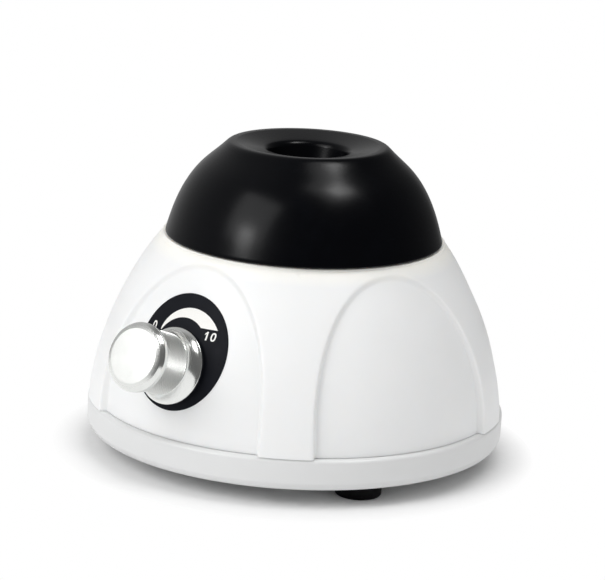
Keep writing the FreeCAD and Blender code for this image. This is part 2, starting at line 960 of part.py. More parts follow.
def cup_side_curve():
    crest = cup_crest_radius + 1.2
    side_top = cup_top - 0.8
    height = side_top - cup_bottom
    run = cup_base_radius - crest
    points = []
    for up, inward in cup_side:
        points.append(Vector(cup_base_radius - run * inward, 0, cup_bottom + height * up))
    curve = Part.BSplineCurve()
    curve.interpolate(Points=points)
    return curve


def rubber_cup():
    """Domed cup with a shallow dish and a tapered well for the tube's end."""
    curve = cup_side_curve()
    side_top = curve.value(curve.LastParameter)
    crest = Vector(cup_crest_radius, 0, cup_top)
    bend = Vector(cup_crest_radius + 0.7, 0, cup_top - 0.25)
    roof = carrier_top + cup_roof
    mouth = cup_top - dish_depth
    shelf = carrier_radius - cup_shelf
    corners = [
        crest,
        Vector(well_mouth_radius + 1.2, 0, mouth + 0.1),
        Vector(well_mouth_radius + 0.35, 0, mouth - 0.3),
        Vector(well_mouth_radius, 0, mouth - 1.2),
        Vector(well_floor_radius, 0, well_floor + 1.5),
        Vector(well_floor_radius - 1.5, 0, well_floor),
        Vector(0, 0, well_floor),
        Vector(0, 0, roof),
        Vector(shelf, 0, roof),
        Vector(shelf, 0, carrier_top),
        Vector(carrier_radius + 0.5, 0, carrier_top),
        Vector(cup_base_radius - cup_wall - 0.6, 0, cup_bottom + 1.5),
        Vector(cup_base_radius - cup_wall + 0.6, 0, cup_bottom),
        curve.value(curve.FirstParameter),
    ]
    edges = [curve.toShape(), Part.Arc(side_top, bend, crest).toShape()]
    for start, end in zip(corners, corners[1:]):
        edges.append(Part.makeLine(start, end))
    face = Part.Face(Part.Wire(edges))
    solid = face.revolve(Vector(0, 0, 0), Vector(0, 0, 1), 360)
    sockets = []
    for angle in standoff_angles:
        x, y = polar(cup_screw_circle, angle)
        sockets.append(cylinder(insert_radius, carrier_top - 1, carrier_top + insert_length, x, y))
    return on_pin_axis(solid.cut(sockets))


def cup_insert(x, y):
    bore = motor_screw_radius + thread_clearance
    return tube(insert_radius, bore, carrier_top, carrier_top + insert_length, x, y)


# Knob, drawn along +Z from the dial and carried to its axis

def speed_knob():
    back = knob_gap
    front = knob_length + knob_gap
    grip_low = back + knob_skirt_length
    grip_high = front - knob_cap_length
    bore = pot_shaft_radius + 0.02
    outline = [
        (bore, back + knob_bore_start),
        (knob_skirt_bore, back + knob_bore_start),
        (knob_skirt_bore, back),
        (knob_skirt_radius - 0.2, back),
        (knob_skirt_radius, back + 0.25),
        (knob_skirt_radius, back + 0.7),
        (knob_skirt_radius - 0.9, back + 1.6),
        (knob_grip_radius + 0.35, grip_low - 1.3),
        (knob_grip_radius, grip_low),
        (knob_grip_radius - 0.25, grip_low),
        (knob_grip_radius - 0.25, grip_high),
        (knob_cap_radius - 0.3, grip_high + 0.2),
        (knob_cap_radius, grip_high + 0.6),
        (knob_cap_radius, front - 1.7),
        (knob_cap_radius - 0.5, front - 0.8),
        (knob_face_radius, front),
        (0, front),
        (0, back + knob_bore_end),
        (bore, back + knob_bore_end),
    ]
    knurl = knurled_band(grip_low - 0.1, grip_high + 0.1)
    start = Vector(0, 0, back + knob_set_screw_height)
    reach = knob_skirt_radius + 1
    set_screw_hole = Part.makeCylinder(screw_radius + thread_clearance, reach, start, Vector(0, -1, 0))
    return on_knob_axis(turned(outline).fuse(knurl).cut(set_screw_hole))


def knurled_band(low, high):
    """Sleeve with fine straight teeth."""
    points = []
    for step in range(2 * knurl_count):
        radius = knob_grip_radius - knurl_depth * (1 - step % 2)
        turn = math.pi * step / knurl_count
        points.append(Vector(radius * math.cos(turn), radius * math.sin(turn), low))
    band = Part.Face(Part.makePolygon(points + points[:1])).extrude(Vector(0, 0, high - low))
    return band.cut(cylinder(knob_grip_radius - 1.5, low - 1, high + 1))


def knob_set_screw():
    start = Vector(0, -pot_shaft_radius + 0.5, knob_gap + knob_set_screw_height)
    return on_knob_axis(Part.makeCylinder(screw_radius, knob_set_screw_length, start, Vector(0, -1, 0)))


def pot_shaft():
    """Shaft with a flat for the set screw and the wiper disc at its foot."""
    top = knob_gap + knob_bore_end - 0.2
    wiper_top = -pot_seat_depth - pot_wiper_depth
    wiper_bottom = wiper_top - pot_wiper_thickness
    shaft = cylinder(pot_shaft_radius, wiper_bottom - 1, top)
    wiper = cylinder(pot_wiper_radius, wiper_bottom, wiper_top)
    flat = block(-5, 5, -5, -pot_shaft_radius + 0.5, 5, top + 1)
    return on_knob_axis(shaft.fuse(wiper).cut(flat).removeSplitter())


def pot_body():
    seat = -pot_seat_depth
    floor = seat - pot_depth
    case = cylinder(pot_radius, floor, seat)
    bushing = cylinder(pot_bushing_radius, seat - 1, pot_bushing_length)
    room = cylinder(pot_radius - pot_wall, floor + 1, seat - 4)
    bore = cylinder(pot_shaft_radius + running_fit, seat - 5, pot_bushing_length + 2)
    return on_knob_axis(case.fuse(bushing).cut([room, bore]).removeSplitter())


def pot_washer():
    top = pot_washer_gap + pot_washer_thickness
    return on_knob_axis(tube(pot_washer_radius, pot_bushing_radius + 0.05, pot_washer_gap, top))


def pot_nut():
    low = pot_washer_gap + pot_washer_thickness
    high = low + pot_nut_thickness
    bore = cylinder(pot_bushing_radius, low - 1, high + 1)
    return on_knob_axis(hexagon(pot_nut_width, low, high).cut(bore))


def pot_terminals():
    """Three flat solder tabs on the lower side of the case."""
    low = -pot_seat_depth - pot_terminal_depth
    half = pot_terminal_width / 2
    tabs = []
    for x in (-pot_terminal_spacing, 0, pot_terminal_spacing):
        nearest = max(abs(x) - half, 0)
        root = -math.sqrt(pot_radius ** 2 - nearest ** 2) - 0.02
        tabs.append(block(x - half, x + half, -pot_radius - pot_terminal_reach, root, low, low + 0.4))
    return on_knob_axis(Part.makeCompound(tabs))


# Power socket

def jack_body():
    flange = cylinder(jack_flange_radius, 0, jack_flange_thickness)
    barrel = cylinder(jack_barrel_radius, -jack_depth, 0.5)
    socket = cylinder(jack_socket_radius, -jack_socket_depth, 2)
    tail = cylinder(jack_pin_radius, -jack_depth - 1, 1 - jack_socket_depth)
    return on_jack_axis(flange.fuse(barrel).cut([socket, tail]).removeSplitter())


def jack_nut():
    low = -jack_pad_thickness - jack_nut_thickness
    bore = cylinder(jack_barrel_radius, low - 1, 0)
    return on_jack_axis(hexagon(jack_nut_width, low, -jack_pad_thickness).cut(bore))


def jack_contacts():
    """Centre pin that ends in a solder tab, and the sleeve's tab beside it."""
    end = -jack_depth - jack_tab_reach
    half = 0.3
    pin = cylinder(jack_pin_radius, end, -0.6)
    tab = block(-jack_tab_offset - half, -jack_tab_offset + half, -1, 1, end, -jack_depth)
    return on_jack_axis(Part.makeCompound([pin, tab]))


# Circuit board

def board_corners():
    right = board_width / 2 - board_screw_inset
    front = board_front + board_screw_inset - 1
    rear = board_rear - board_screw_inset + 1
    return [(-right, front), (right, front), (-right, rear), (right, rear)]


def circuit_board():
    half = board_width / 2
    board = block(-half, half, board_front, board_rear, board_bottom, board_top)
    hole = board_screw_radius + 0.1
    return board.cut([cylinder(hole, board_bottom - 1, board_top + 1, x, y) for x, y in board_corners()])


def board_spacers():
    hole = board_screw_radius + 0.1
    spacers = [tube(spacer_radius, hole, ballast_top, board_bottom, x, y) for x, y in board_corners()]
    return Part.makeCompound(spacers)


def board_screws():
    length = board_thickness + board_height + board_screw_grip
    screws = [screw(board_top, length, False, board_screw_radius, x, y) for x, y in board_corners()]
    return Part.makeCompound(screws)


def capacitor():
    x = board_width / 2 - capacitor_inset
    return cylinder(capacitor_radius, board_top, board_top + capacitor_height, x, board_middle)


def power_transistor():
    """Flat transistor standing against its finned heat sink."""
    left = heat_sink_left + 1
    right = heat_sink_right - 1
    rear = board_middle + transistor_thickness
    case = block(left, right, board_middle, rear, board_top + 2, board_top + heat_sink_height - 2)
    middle = (left + right) / 2
    legs = []
    for x in (middle - transistor_leg_pitch, middle, middle + transistor_leg_pitch):
        legs.append(block(x - 0.4, x + 0.4, rear - 2.6, rear - 2, board_top, board_top + 2))
    return fused([case] + legs)


def heat_sink():
    front = board_middle + transistor_thickness
    high = board_top + heat_sink_height
    plate = block(heat_sink_left, heat_sink_right, front, front + heat_sink_plate, board_top, high)
    pitch = (heat_sink_width - heat_sink_fin) / (heat_sink_fin_count - 1)
    fins = []
    for number in range(heat_sink_fin_count):
        x = heat_sink_left + pitch * number
        fins.append(block(x, x + heat_sink_fin, front + 1, front + heat_sink_depth, board_top, high))
    return fused([plate] + fins)


def terminal_blocks():
    """Three wire clamps, for the motor, the knob and the socket."""
    front = board_front + 0.5
    rear = board_rear - 0.5
    left = -board_width / 2 + 0.5
    start = front + knob_clamp_start
    motor = block(
        motor_clamp_left, motor_clamp_left + clamp_width, front, front + clamp_depth, board_top, clamp_top)
    knob = block(left, left + clamp_depth, start, start + knob_clamp_width, board_top, clamp_top)
    socket = block(
        socket_clamp_left, socket_clamp_left + clamp_width, rear - clamp_depth, rear, board_top, clamp_top)
    return Part.makeCompound([motor, knob, socket])


def control_chip():
    front = board_middle - 4
    return block(
        chip_left, chip_left + chip_width, front, front + chip_length, board_top, board_top + chip_height)


# Wires

def lead(points):
    """Insulated wire along straight runs with a rounded bend at each point."""
    places = [Vector(*point) for point in points]
    edges = []
    start = places[0]
    for before, corner, after in zip(places, places[1:], places[2:]):
        inwards = corner - before
        outwards = after - corner
        reach = 0.45 * min(inwards.Length, outwards.Length)
        entry = corner - inwards.normalize() * reach
        leave = corner + outwards.normalize() * reach
        half_turn = inwards.getAngle(outwards) / 2
        bend_radius = reach / math.tan(half_turn)
        towards = ((entry + leave) / 2 - corner).normalize()
        middle = corner + towards * bend_radius * (1 / math.cos(half_turn) - 1)
        edges.append(Part.makeLine(start, entry))
        edges.append(Part.Arc(entry, middle, leave).toShape())
        start = leave
    edges.append(Part.makeLine(start, places[-1]))
    section = Part.Wire(Part.makeCircle(lead_radius, places[0], places[1] - places[0]))
    return Part.Wire(edges).makePipeShell([section], True, True)


def jack_leads():
    """Two wires that rise from the socket's tabs and loop down into the rear clamp."""
    tail = jack_seat - jack_depth - jack_tab_reach
    clamp_rear = board_rear - 0.5
    clamp = clamp_rear - clamp_depth / 2
    straight = 0.28 * (tail - clamp_rear)
    loop_top = clamp_top + lead_loop
    leads = []
    for x, beside in ((0, 4.0), (-jack_tab_offset, 1.2)):
        target = socket_clamp_left + beside
        leads.append(lead([
            (x, tail - 0.03, jack_height),
            (x, tail - straight, jack_height),
            (target, clamp_rear + straight, loop_top),
            (target, clamp, loop_top),
            (target, clamp, clamp_top + 0.03),
        ]))
    return Part.makeCompound(leads)


def motor_leads():
    """Two wires from the motor's tabs round its can to the front clamp."""
    low = motor_bottom - brush_tab_reach + 0.8
    rim = motor_radius + 2.4
    face = board_front + 0.47
    start = brush_offset + brush_tab_thickness / 2 + 0.02
    near = motor_clamp_left + 2.5
    far = motor_clamp_left + 7.5
    right = lead([
        (start, 0, low),
        (start + 2.73, 0, low),
        (start + 4.23, 7, low + 0.4),
        (far, rim, low + 4),
        (far, rim, clamp_middle),
        (far, face, clamp_middle),
    ])
    left = lead([
        (-start, 0, low),
        (-start - 2.73, 0, low),
        (-start - 2.73, 11, low + 0.4),
        (-2, rim, low + 4),
        (near, rim, low + 7),
        (near, rim, clamp_middle),
        (near, face, clamp_middle),
    ])
    return Part.makeCompound([right, left])


def pot_leads():
    """Three wires from the potentiometer round the motor to their clamp."""
    clamp_face = -board_width / 2 + 0.47
    end = -pot_radius - pot_terminal_reach + 0.7
    leads = []
    for number, x in enumerate((-pot_terminal_spacing, 0, pot_terminal_spacing)):
        low = -pot_seat_depth - pot_terminal_depth - 0.03
        tab = on_knob_axis(Part.Vertex(x, end, low)).Point
        below = on_knob_axis(Part.Vertex(x, end, low - 4)).Point
        level = ballast_top + 2.5 + 2 * number
        clamp = board_front + 12.6 - 2 * number
        leads.append(lead([
            tuple(tab),
            tuple(below),
            (0.4 * x - 19, -38, level),
            (-34, -18, level),
            (-36.5, 8, level),
            (-36 + 2.5 * number, clamp, clamp_middle),
            (clamp_face, clamp, clamp_middle),
        ]))
    return Part.makeCompound(leads)


def screws_on(circle, angles, seat, length, upwards=False, radius=screw_radius):
    """One screw at each place of a circle."""
    return on_circle(lambda x, y: screw(seat, length, upwards, radius, x, y), circle, angles)


def pieces():
    """Every separate piece by name."""
    feet_angles = foot_angles()
    housing_angles = housing_screw_angles()
    retainer_top = bearing_top + retainer_thickness
    isolator_top = bracket_top + isolator_above
    bracket_screw_length = isolator_top - standoff_top + bracket_screw_grip
    motor_screws = []
    for x in (-motor_screw_offset, motor_screw_offset):
        motor_screws.append(screw(bracket_top, motor_screw_length, False, motor_screw_radius, x))
    return {
        "upper_housing": upper_housing(),
        "base_pan": base_pan(),
        "feet": on_circle(foot, foot_circle, feet_angles),
        "foot_screws": screws_on(foot_circle, feet_angles, foot_recess_depth, foot_screw_length, True),
        "housing_screws": screws_on(
            housing_screw_circle, housing_angles, floor_top, housing_screw_length, True),
        "ballast_plate": ballast_plate(),
        "ballast_screws": screws_on(ballast_screw_circle, guide_angles, ballast_top, ballast_screw_length),
        "motor_bracket": motor_bracket(),
        "bracket_standoffs": on_circle(standoff, standoff_circle, standoff_angles),
        "bracket_isolators": on_circle(isolator, standoff_circle, standoff_angles),
        "bracket_screws": screws_on(
            standoff_circle, standoff_angles, isolator_top, bracket_screw_length),
        "guide_pins": on_circle(guide_pin, guide_circle, guide_angles),
        "guide_sleeves": on_circle(guide_sleeve, guide_circle, guide_angles),
        "motor_can": motor_can(),
        "motor_end_bell": motor_end_bell(),
        "motor_bushings": motor_bushings(),
        "motor_magnets": motor_magnets(),
        "motor_terminals": motor_terminals(),
        "motor_screws": Part.makeCompound(motor_screws),
        "motor_shaft": motor_shaft(),
        "armature_core": armature_core(),
        "armature_windings": armature_windings(),
        "commutator": commutator(),
        "eccentric_hub": eccentric_hub(),
        "hub_set_screw": hub_set_screw(),
        "counterweight": counterweight(),
        "counterweight_screws": counterweight_screws(),
        "pin_clip": pin_clip(),
        "bearing_inner_race": bearing_inner_race(),
        "bearing_outer_race": bearing_outer_race(),
        "bearing_balls": bearing_balls(),
        "bearing_cage": bearing_cage(),
        "cup_carrier": cup_carrier(),
        "bearing_retainer": bearing_retainer(),
        "retainer_screws": on_pin_axis(screws_on(
            retainer_screw_circle, standoff_angles, retainer_top, retainer_screw_length, False,
            board_screw_radius)),
        "cup_inserts": on_pin_axis(on_circle(cup_insert, cup_screw_circle, standoff_angles)),
        "cup_screws": on_pin_axis(screws_on(
            cup_screw_circle, standoff_angles, carrier_bottom, cup_screw_length, True, motor_screw_radius)),
        "rubber_cup": rubber_cup(),
        "dial_plate": dial_plate(),
        "speed_knob": speed_knob(),
        "knob_set_screw": knob_set_screw(),
        "pot_shaft": pot_shaft(),
        "pot_body": pot_body(),
        "pot_washer": pot_washer(),
        "pot_nut": pot_nut(),
        "pot_terminals": pot_terminals(),
        "jack_body": jack_body(),
        "jack_nut": jack_nut(),
        "jack_contacts": jack_contacts(),
        "circuit_board": circuit_board(),
        "board_spacers": board_spacers(),
        "board_screws": board_screws(),
        "capacitor": capacitor(),
        "power_transistor": power_transistor(),
        "heat_sink": heat_sink(),
        "terminal_blocks": terminal_blocks(),
        "control_chip": control_chip(),
        "jack_leads": jack_leads(),
        "motor_leads": motor_leads(),
        "pot_leads": pot_leads(),
    }


os.makedirs("parts", exist_ok=True)
for name, shape in pieces().items():
    shape.exportStep("parts/" + name + ".step")
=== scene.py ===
"""Visible skin, finishes and studio of a small bench shaker for test tubes.

Heights and radii in the profiles are written in millimetres and scaled once,
by MM, when a piece is made. +Z is up and the dial faces -Y.
"""
import json
import math

import bmesh
import bpy
import numpy as np
from bpy.props import FloatProperty, FloatVectorProperty, IntProperty, PointerProperty
from mathutils import Matrix, Vector


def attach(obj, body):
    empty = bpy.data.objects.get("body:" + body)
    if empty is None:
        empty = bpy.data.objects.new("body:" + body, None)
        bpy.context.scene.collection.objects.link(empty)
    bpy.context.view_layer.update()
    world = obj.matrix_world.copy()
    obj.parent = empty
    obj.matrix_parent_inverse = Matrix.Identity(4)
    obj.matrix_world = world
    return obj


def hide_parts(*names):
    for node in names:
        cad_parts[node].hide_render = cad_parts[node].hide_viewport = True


bl_info = {
    "name": "Bench Shaker",
    "version": (1, 0, 0),
    "blender": (4, 5, 0),
    "location": "View3D > Sidebar > Shaker",
    "description": "Builds the skin, finishes and studio of a small bench shaker for test tubes",
    "category": "Add Mesh",
}

MM = 0.001

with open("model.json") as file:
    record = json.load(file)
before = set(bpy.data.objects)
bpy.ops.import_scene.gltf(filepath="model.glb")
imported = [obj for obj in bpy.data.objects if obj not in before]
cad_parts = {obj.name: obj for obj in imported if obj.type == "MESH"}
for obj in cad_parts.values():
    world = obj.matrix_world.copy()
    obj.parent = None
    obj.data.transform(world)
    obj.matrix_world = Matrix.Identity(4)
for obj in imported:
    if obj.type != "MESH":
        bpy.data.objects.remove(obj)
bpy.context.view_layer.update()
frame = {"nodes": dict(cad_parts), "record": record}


# Heights and radii shared by several pieces, in millimetres

RING_TOP = 14.7
WALL_FOOT = 14.15
PARTING = 0.12
DECK_TOP = 65.15
DECK_UNDERSIDE = DECK_TOP - 2.4
ARCH_TOP = DECK_TOP - 2.9
WALL_TOP = DECK_TOP - 0.5
WALL_THICKNESS = 3.6
LIP_RADIUS = 41.9
LIP_SLOPE = -0.7536
SECTOR = math.radians(36)
FOOT_PLACES = ((61.2, 48.7), (115.4, 48.7), (-115.4, 48.7), (-61.2, 48.7))
SCREW_PLACES = ((36, 52), (144, 52), (-144, 52), (-36, 52))
PIN = (1.2231, -1.5824)
DIAL_HEIGHT = 39.1
KNOB_HEIGHT = 35.5
KNOB_TILT = math.radians(20)
SOCKET_HEIGHT = 22.2
GRIP_RADIUS = 9.0
GRIP_START = 5.3
GRIP_END = 15.2
KNOB_FACE = 18.45
PRINT_LIFT = 0.17
PRINT_SINK = 0.05
SCALE_RADIUS = 9.6

# Steps of the grid over one fifth of the wall

LEG_STEPS = 6
SHOULDER_STEPS = 25
CROWN_STEPS = 61
INNER_ROWS = 22
EDGE_ROWS = 9
OUTER_ROWS = 12

# The photograph's width in pixels, which the camera's lens and shift were fitted to

PICTURE_WIDTH = 605


# Curves

def spline(knots, values, start=None, end=None):
    """Cubic spline through the values, as a function of the knots' parameter.

    Second derivatives agree at every knot. An end has the given slope, or no
    curvature where none is given.
    """
    knots = np.asarray(knots, float)
    values = np.asarray(values, float)
    step = np.diff(knots)
    slope = np.diff(values) / step
    count = len(knots)
    matrix = np.zeros((count, count))
    right = np.zeros(count)
    inner = np.arange(1, count - 1)
    matrix[inner, inner - 1] = step[1:]
    matrix[inner, inner] = 2 * (step[:-1] + step[1:])
    matrix[inner, inner + 1] = step[:-1]
    right[inner] = 3 * (step[1:] * slope[:-1] + step[:-1] * slope[1:])
    matrix[0, :2] = (2, 1) if start is None else (1, 0)
    right[0] = 3 * slope[0] if start is None else start
    matrix[-1, -2:] = (1, 2) if end is None else (0, 1)
    right[-1] = 3 * slope[-1] if end is None else end
    tangent = np.linalg.solve(matrix, right)

    def at(parameter):
        parameter = np.asarray(parameter, float)
        span = np.clip(np.searchsorted(knots, parameter, side="right") - 1, 0, count - 2)
        width = step[span]
        u = (parameter - knots[span]) / width
        return (
            (2 * u**3 - 3 * u**2 + 1) * values[span]
            + (u**3 - 2 * u**2 + u) * width * tangent[span]
            + (3 * u**2 - 2 * u**3) * values[span + 1]
            + (u**3 - u**2) * width * tangent[span + 1]
        )

    return at


def smooth_profile(points, count, start=None, end=None):
    """Radius and height along a spline through the points, by chord length."""
    points = np.asarray(points, float)
    along = np.concatenate([[0], np.cumsum(np.linalg.norm(np.diff(points, axis=0), axis=1))])
    at = np.linspace(0, along[-1], count)
    start = (None, None) if start is None else start
    end = (None, None) if end is None else end
    columns = [spline(along, points[:, axis], start[axis], end[axis])(at) for axis in (0, 1)]
    return np.stack(columns, axis=1)


def rounded_profile(corners, steps=6):
    """Straight profile whose corners (radius, height, fillet) are rounded by arcs.

    An arc starts and ends fillet / tan(half the inner angle) from its corner.
    """
    corners = [np.array(corner, float) for corner in corners]
    parts = [corners[0][None, :2]]
    for before, corner, after in zip(corners, corners[1:], corners[2:]):
        if corner[2] == 0:
            parts.append(corner[None, :2])
            continue
        inwards = (before - corner)[:2]
        outwards = (after - corner)[:2]
        inwards /= np.linalg.norm(inwards)
        outwards /= np.linalg.norm(outwards)
        half = math.acos(np.clip(inwards @ outwards, -1, 1)) / 2
        bisector = (inwards + outwards) / np.linalg.norm(inwards + outwards)
        centre = corner[:2] + bisector * corner[2] / math.sin(half)
        first = corner[:2] + inwards * corner[2] / math.tan(half) - centre
        last = corner[:2] + outwards * corner[2] / math.tan(half) - centre
        turn = np.linspace(0, 1, steps + 1)[:, None]
        span = math.pi - 2 * half
        arc = (np.sin((1 - turn) * span) * first + np.sin(turn * span) * last) / math.sin(span)
        parts.append(centre + arc)
    parts.append(corners[-1][None, :2])
    return np.concatenate(parts)


# Surfaces: each is a grid of points and the four-sided faces between them

def grid_faces(rows, columns, wrap_rows=False, wrap_columns=False):
    """Corner numbers of the quads of a grid, closed on itself where it wraps."""
    row = np.arange(rows if wrap_rows else rows - 1)
    column = np.arange(columns if wrap_columns else columns - 1)
    a, b = np.meshgrid(row, column, indexing="ij")
    below = (a + 1) % rows
    right = (b + 1) % columns
    corners = [a * columns + b, a * columns + right, below * columns + right, below * columns + b]
    return np.stack(corners, -1).reshape(-1, 4)


def surface(points, wrap_rows=False, wrap_columns=False):
    """Points and faces of one grid of points, rows by columns by three."""
    rows, columns = points.shape[:2]
    return points.reshape(-1, 3), grid_faces(rows, columns, wrap_rows, wrap_columns)


def lathe(profile, columns=192, centre=(0, 0), closed=False):
    """Profile of (radius, height) turned round a vertical axis through the centre."""
    turn = np.linspace(0, 2 * math.pi, columns, endpoint=False)
    radius = profile[:, 0:1]
    x = centre[0] + radius * np.sin(turn)
    y = centre[1] - radius * np.cos(turn)
    z = np.broadcast_to(profile[:, 1:2], x.shape)
    return surface(np.stack([x, y, z], -1), wrap_rows=closed, wrap_columns=True)


def welded_object(name, parts, dissolve):
    """Linked object of several surfaces given in millimetres, welded and facing outwards."""
    mesh = bpy.data.meshes.new(name)
    starts = np.cumsum([0] + [len(points) for points, faces in parts])
    points = np.concatenate([points for points, faces in parts]) * MM
    faces = np.concatenate([faces + start for (_, faces), start in zip(parts, starts)])
    mesh.from_pydata(points.tolist(), [], faces.tolist())
    work = bmesh.new()
    work.from_mesh(mesh)
    bmesh.ops.remove_doubles(work, verts=work.verts, dist=2e-7)
    if dissolve:
        bmesh.ops.dissolve_degenerate(work, edges=work.edges, dist=1e-8)
    bmesh.ops.recalc_face_normals(work, faces=work.faces)
    work.to_mesh(mesh)
    work.free()
    made = bpy.data.objects.new(name, mesh)
    bpy.context.scene.collection.objects.link(made)
    return made


def piece(name, parts, body, replaced=(), sharp=35):
    """One closed piece from several surfaces, on its body and smooth up to the sharp angle."""
    made = welded_object(name, parts, dissolve=True)
    made.data.shade_smooth()
    made.data.set_sharp_from_angle(angle=math.radians(sharp))
    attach(made, body)
    if replaced:
        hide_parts(*replaced)
    return made


def carve(made, parts):
    """Cut closed surfaces out of a piece and keep the result as its mesh."""
    cutter = welded_object("cutter", parts, dissolve=False)
    mesh = cutter.data
    cut = made.modifiers.new("holes", "BOOLEAN")
    cut.operation = "DIFFERENCE"
    cut.solver = "EXACT"
    cut.object = cutter
    graph = bpy.context.evaluated_depsgraph_get()
    result = bpy.data.meshes.new_from_object(made.evaluated_get(graph))
    made.modifiers.clear()
    old = made.data
    made.data = result
    result.name = made.name
    bpy.data.meshes.remove(old)
    bpy.data.objects.remove(cutter)
    bpy.data.meshes.remove(mesh)


def place(angle, radius):
    """Place on a circle round the middle, counted from the front towards +X."""
    turn = math.radians(angle)
    return radius * math.sin(turn), -radius * math.cos(turn)


def carried(part, matrix):
    """Points of a surface moved by a four by four matrix in millimetres."""
    points, faces = part
    array = np.array(matrix)
    return points @ array[:3, :3].T + array[:3, 3], faces


# The housing's wall

def wall_radius(sizes):
    """Radius of the pillars as a function of height: upright at the ring, leaning in at the lip."""
    ring = sizes.ring_radius / MM
    run = ring - LIP_RADIUS
    heights = WALL_FOOT + (DECK_TOP - WALL_FOOT) * np.array([0, 0.4, 0.8, 1])
    radii = ring - run * np.array([0, 0.165, 0.646, 1])
    return spline(heights, radii, 0.0, LIP_SLOPE)


def recess_at(sizes, x, z):
    """Depth of a recess at a front-view point.

    A recess is flatter than the wall round it, so its depth grows with the
    square of the way out to its legs and with the fourth power of the way
    down to its foot.
    """
    across = np.clip(np.abs(x) / (sizes.arch_width / MM / 2), 0, 1)
    down = np.clip((ARCH_TOP - z) / (ARCH_TOP - RING_TOP), 0, 1)
    return (sizes.recess_depth + sizes.leg_depth * (1 - (1 - across**2) * (1 - down**4))) / MM


def on_recess(sizes, x, z, lift):
    """Point of the front recess at x and height z, lifted along the wall's normal."""
    radius_at = wall_radius(sizes)
    radius = radius_at(z) - recess_at(sizes, x, z)
    lean = (radius_at(z + 0.05) - radius_at(z - 0.05)) / 0.1
    turn = np.arcsin(x / radius)
    size = np.sqrt(1 + lean**2)
    out = radius + lift / size
    return np.stack([out * np.sin(turn), -out * np.cos(turn), z - lift * lean / size], -1)


def arch_sector(sizes):
    """Grid of front-view points (x, z) over one fifth of the wall, and each row's share of the recess.

    Columns follow the arch from its left foot over the crown to its right
    foot. Rows run from the base line out to the arch, across its soft edge,
    and on along rays to the middle of the pillar or to the lip.
    """
    radius_at = wall_radius(sizes)
    half = sizes.arch_width / MM / 2
    rise = sizes.arch_rise / MM
    edge = sizes.arch_edge / MM
    spring = ARCH_TOP - rise
    foot = RING_TOP + PARTING

    corner = math.atan2((WALL_TOP - spring) / rise, float(radius_at(WALL_TOP)) * math.sin(SECTOR) / half)
    rising = np.concatenate([
        np.linspace(0, corner, SHOULDER_STEPS + 1)[:-1],
        np.linspace(corner, math.pi - corner, CROWN_STEPS),
        np.linspace(math.pi - corner, math.pi, SHOULDER_STEPS + 1)[1:],
    ])[::-1]
    low = np.full_like(rising, 0.7)
    high = np.full_like(rising, 2.0)
    for _ in range(40):
        middle = (low + high) / 2
        z = spring + middle * np.sin(rising) * rise
        reach = radius_at(np.minimum(z, WALL_TOP)) * math.sin(SECTOR)
        outside = (middle * np.abs(np.cos(rising)) * half > reach) | (z > WALL_TOP)
        high = np.where(outside, middle, high)
        low = np.where(outside, low, middle)

    legs = np.linspace(foot, spring, LEG_STEPS + 1)[:-1]
    leg_reach = radius_at(legs) * math.sin(SECTOR)
    arch = np.concatenate([
        np.stack([np.full_like(legs, -half), legs], -1),
        np.stack([half * np.cos(rising), spring + rise * np.sin(rising)], -1),
        np.stack([np.full_like(legs, half), legs], -1)[::-1],
    ])
    limit = np.concatenate([
        np.stack([-leg_reach, legs], -1),
        np.stack([low * half * np.cos(rising), spring + low * rise * np.sin(rising)], -1),
        np.stack([leg_reach, legs], -1)[::-1],
    ])
    normal = np.concatenate([
        np.tile([-1.0, 0.0], (len(legs), 1)),
        np.stack([np.cos(rising) / half, np.sin(rising) / rise], -1),
        np.tile([1.0, 0.0], (len(legs), 1)),
    ])
    normal /= np.linalg.norm(normal, axis=1, keepdims=True)

    inside = arch - edge / 2 * normal
    outside = arch + edge / 2 * normal
    along = np.concatenate([[0], np.cumsum(np.linalg.norm(np.diff(inside, axis=0), axis=1))])
    base_x = inside[0, 0] + (inside[-1, 0] - inside[0, 0]) * along / along[-1]
    base = np.stack([base_x, np.full(len(along), foot)], -1)

    inner = np.linspace(0, 1, INNER_ROWS)[:, None, None]
    across = np.linspace(-1, 1, EDGE_ROWS + 2)[1:-1, None, None]
    outer = np.linspace(0, 1, OUTER_ROWS)[:, None, None]
    rows = np.concatenate([
        base + (inside - base) * inner,
        arch + across * edge / 2 * normal,
        outside + (limit - outside) * outer,
    ])
    ease = (across[:, 0, 0] + 1) / 2
    step = 1 - ease**2 * (3 - 2 * ease)
    return rows, np.concatenate([np.ones(INNER_ROWS), step, np.zeros(OUTER_ROWS)])


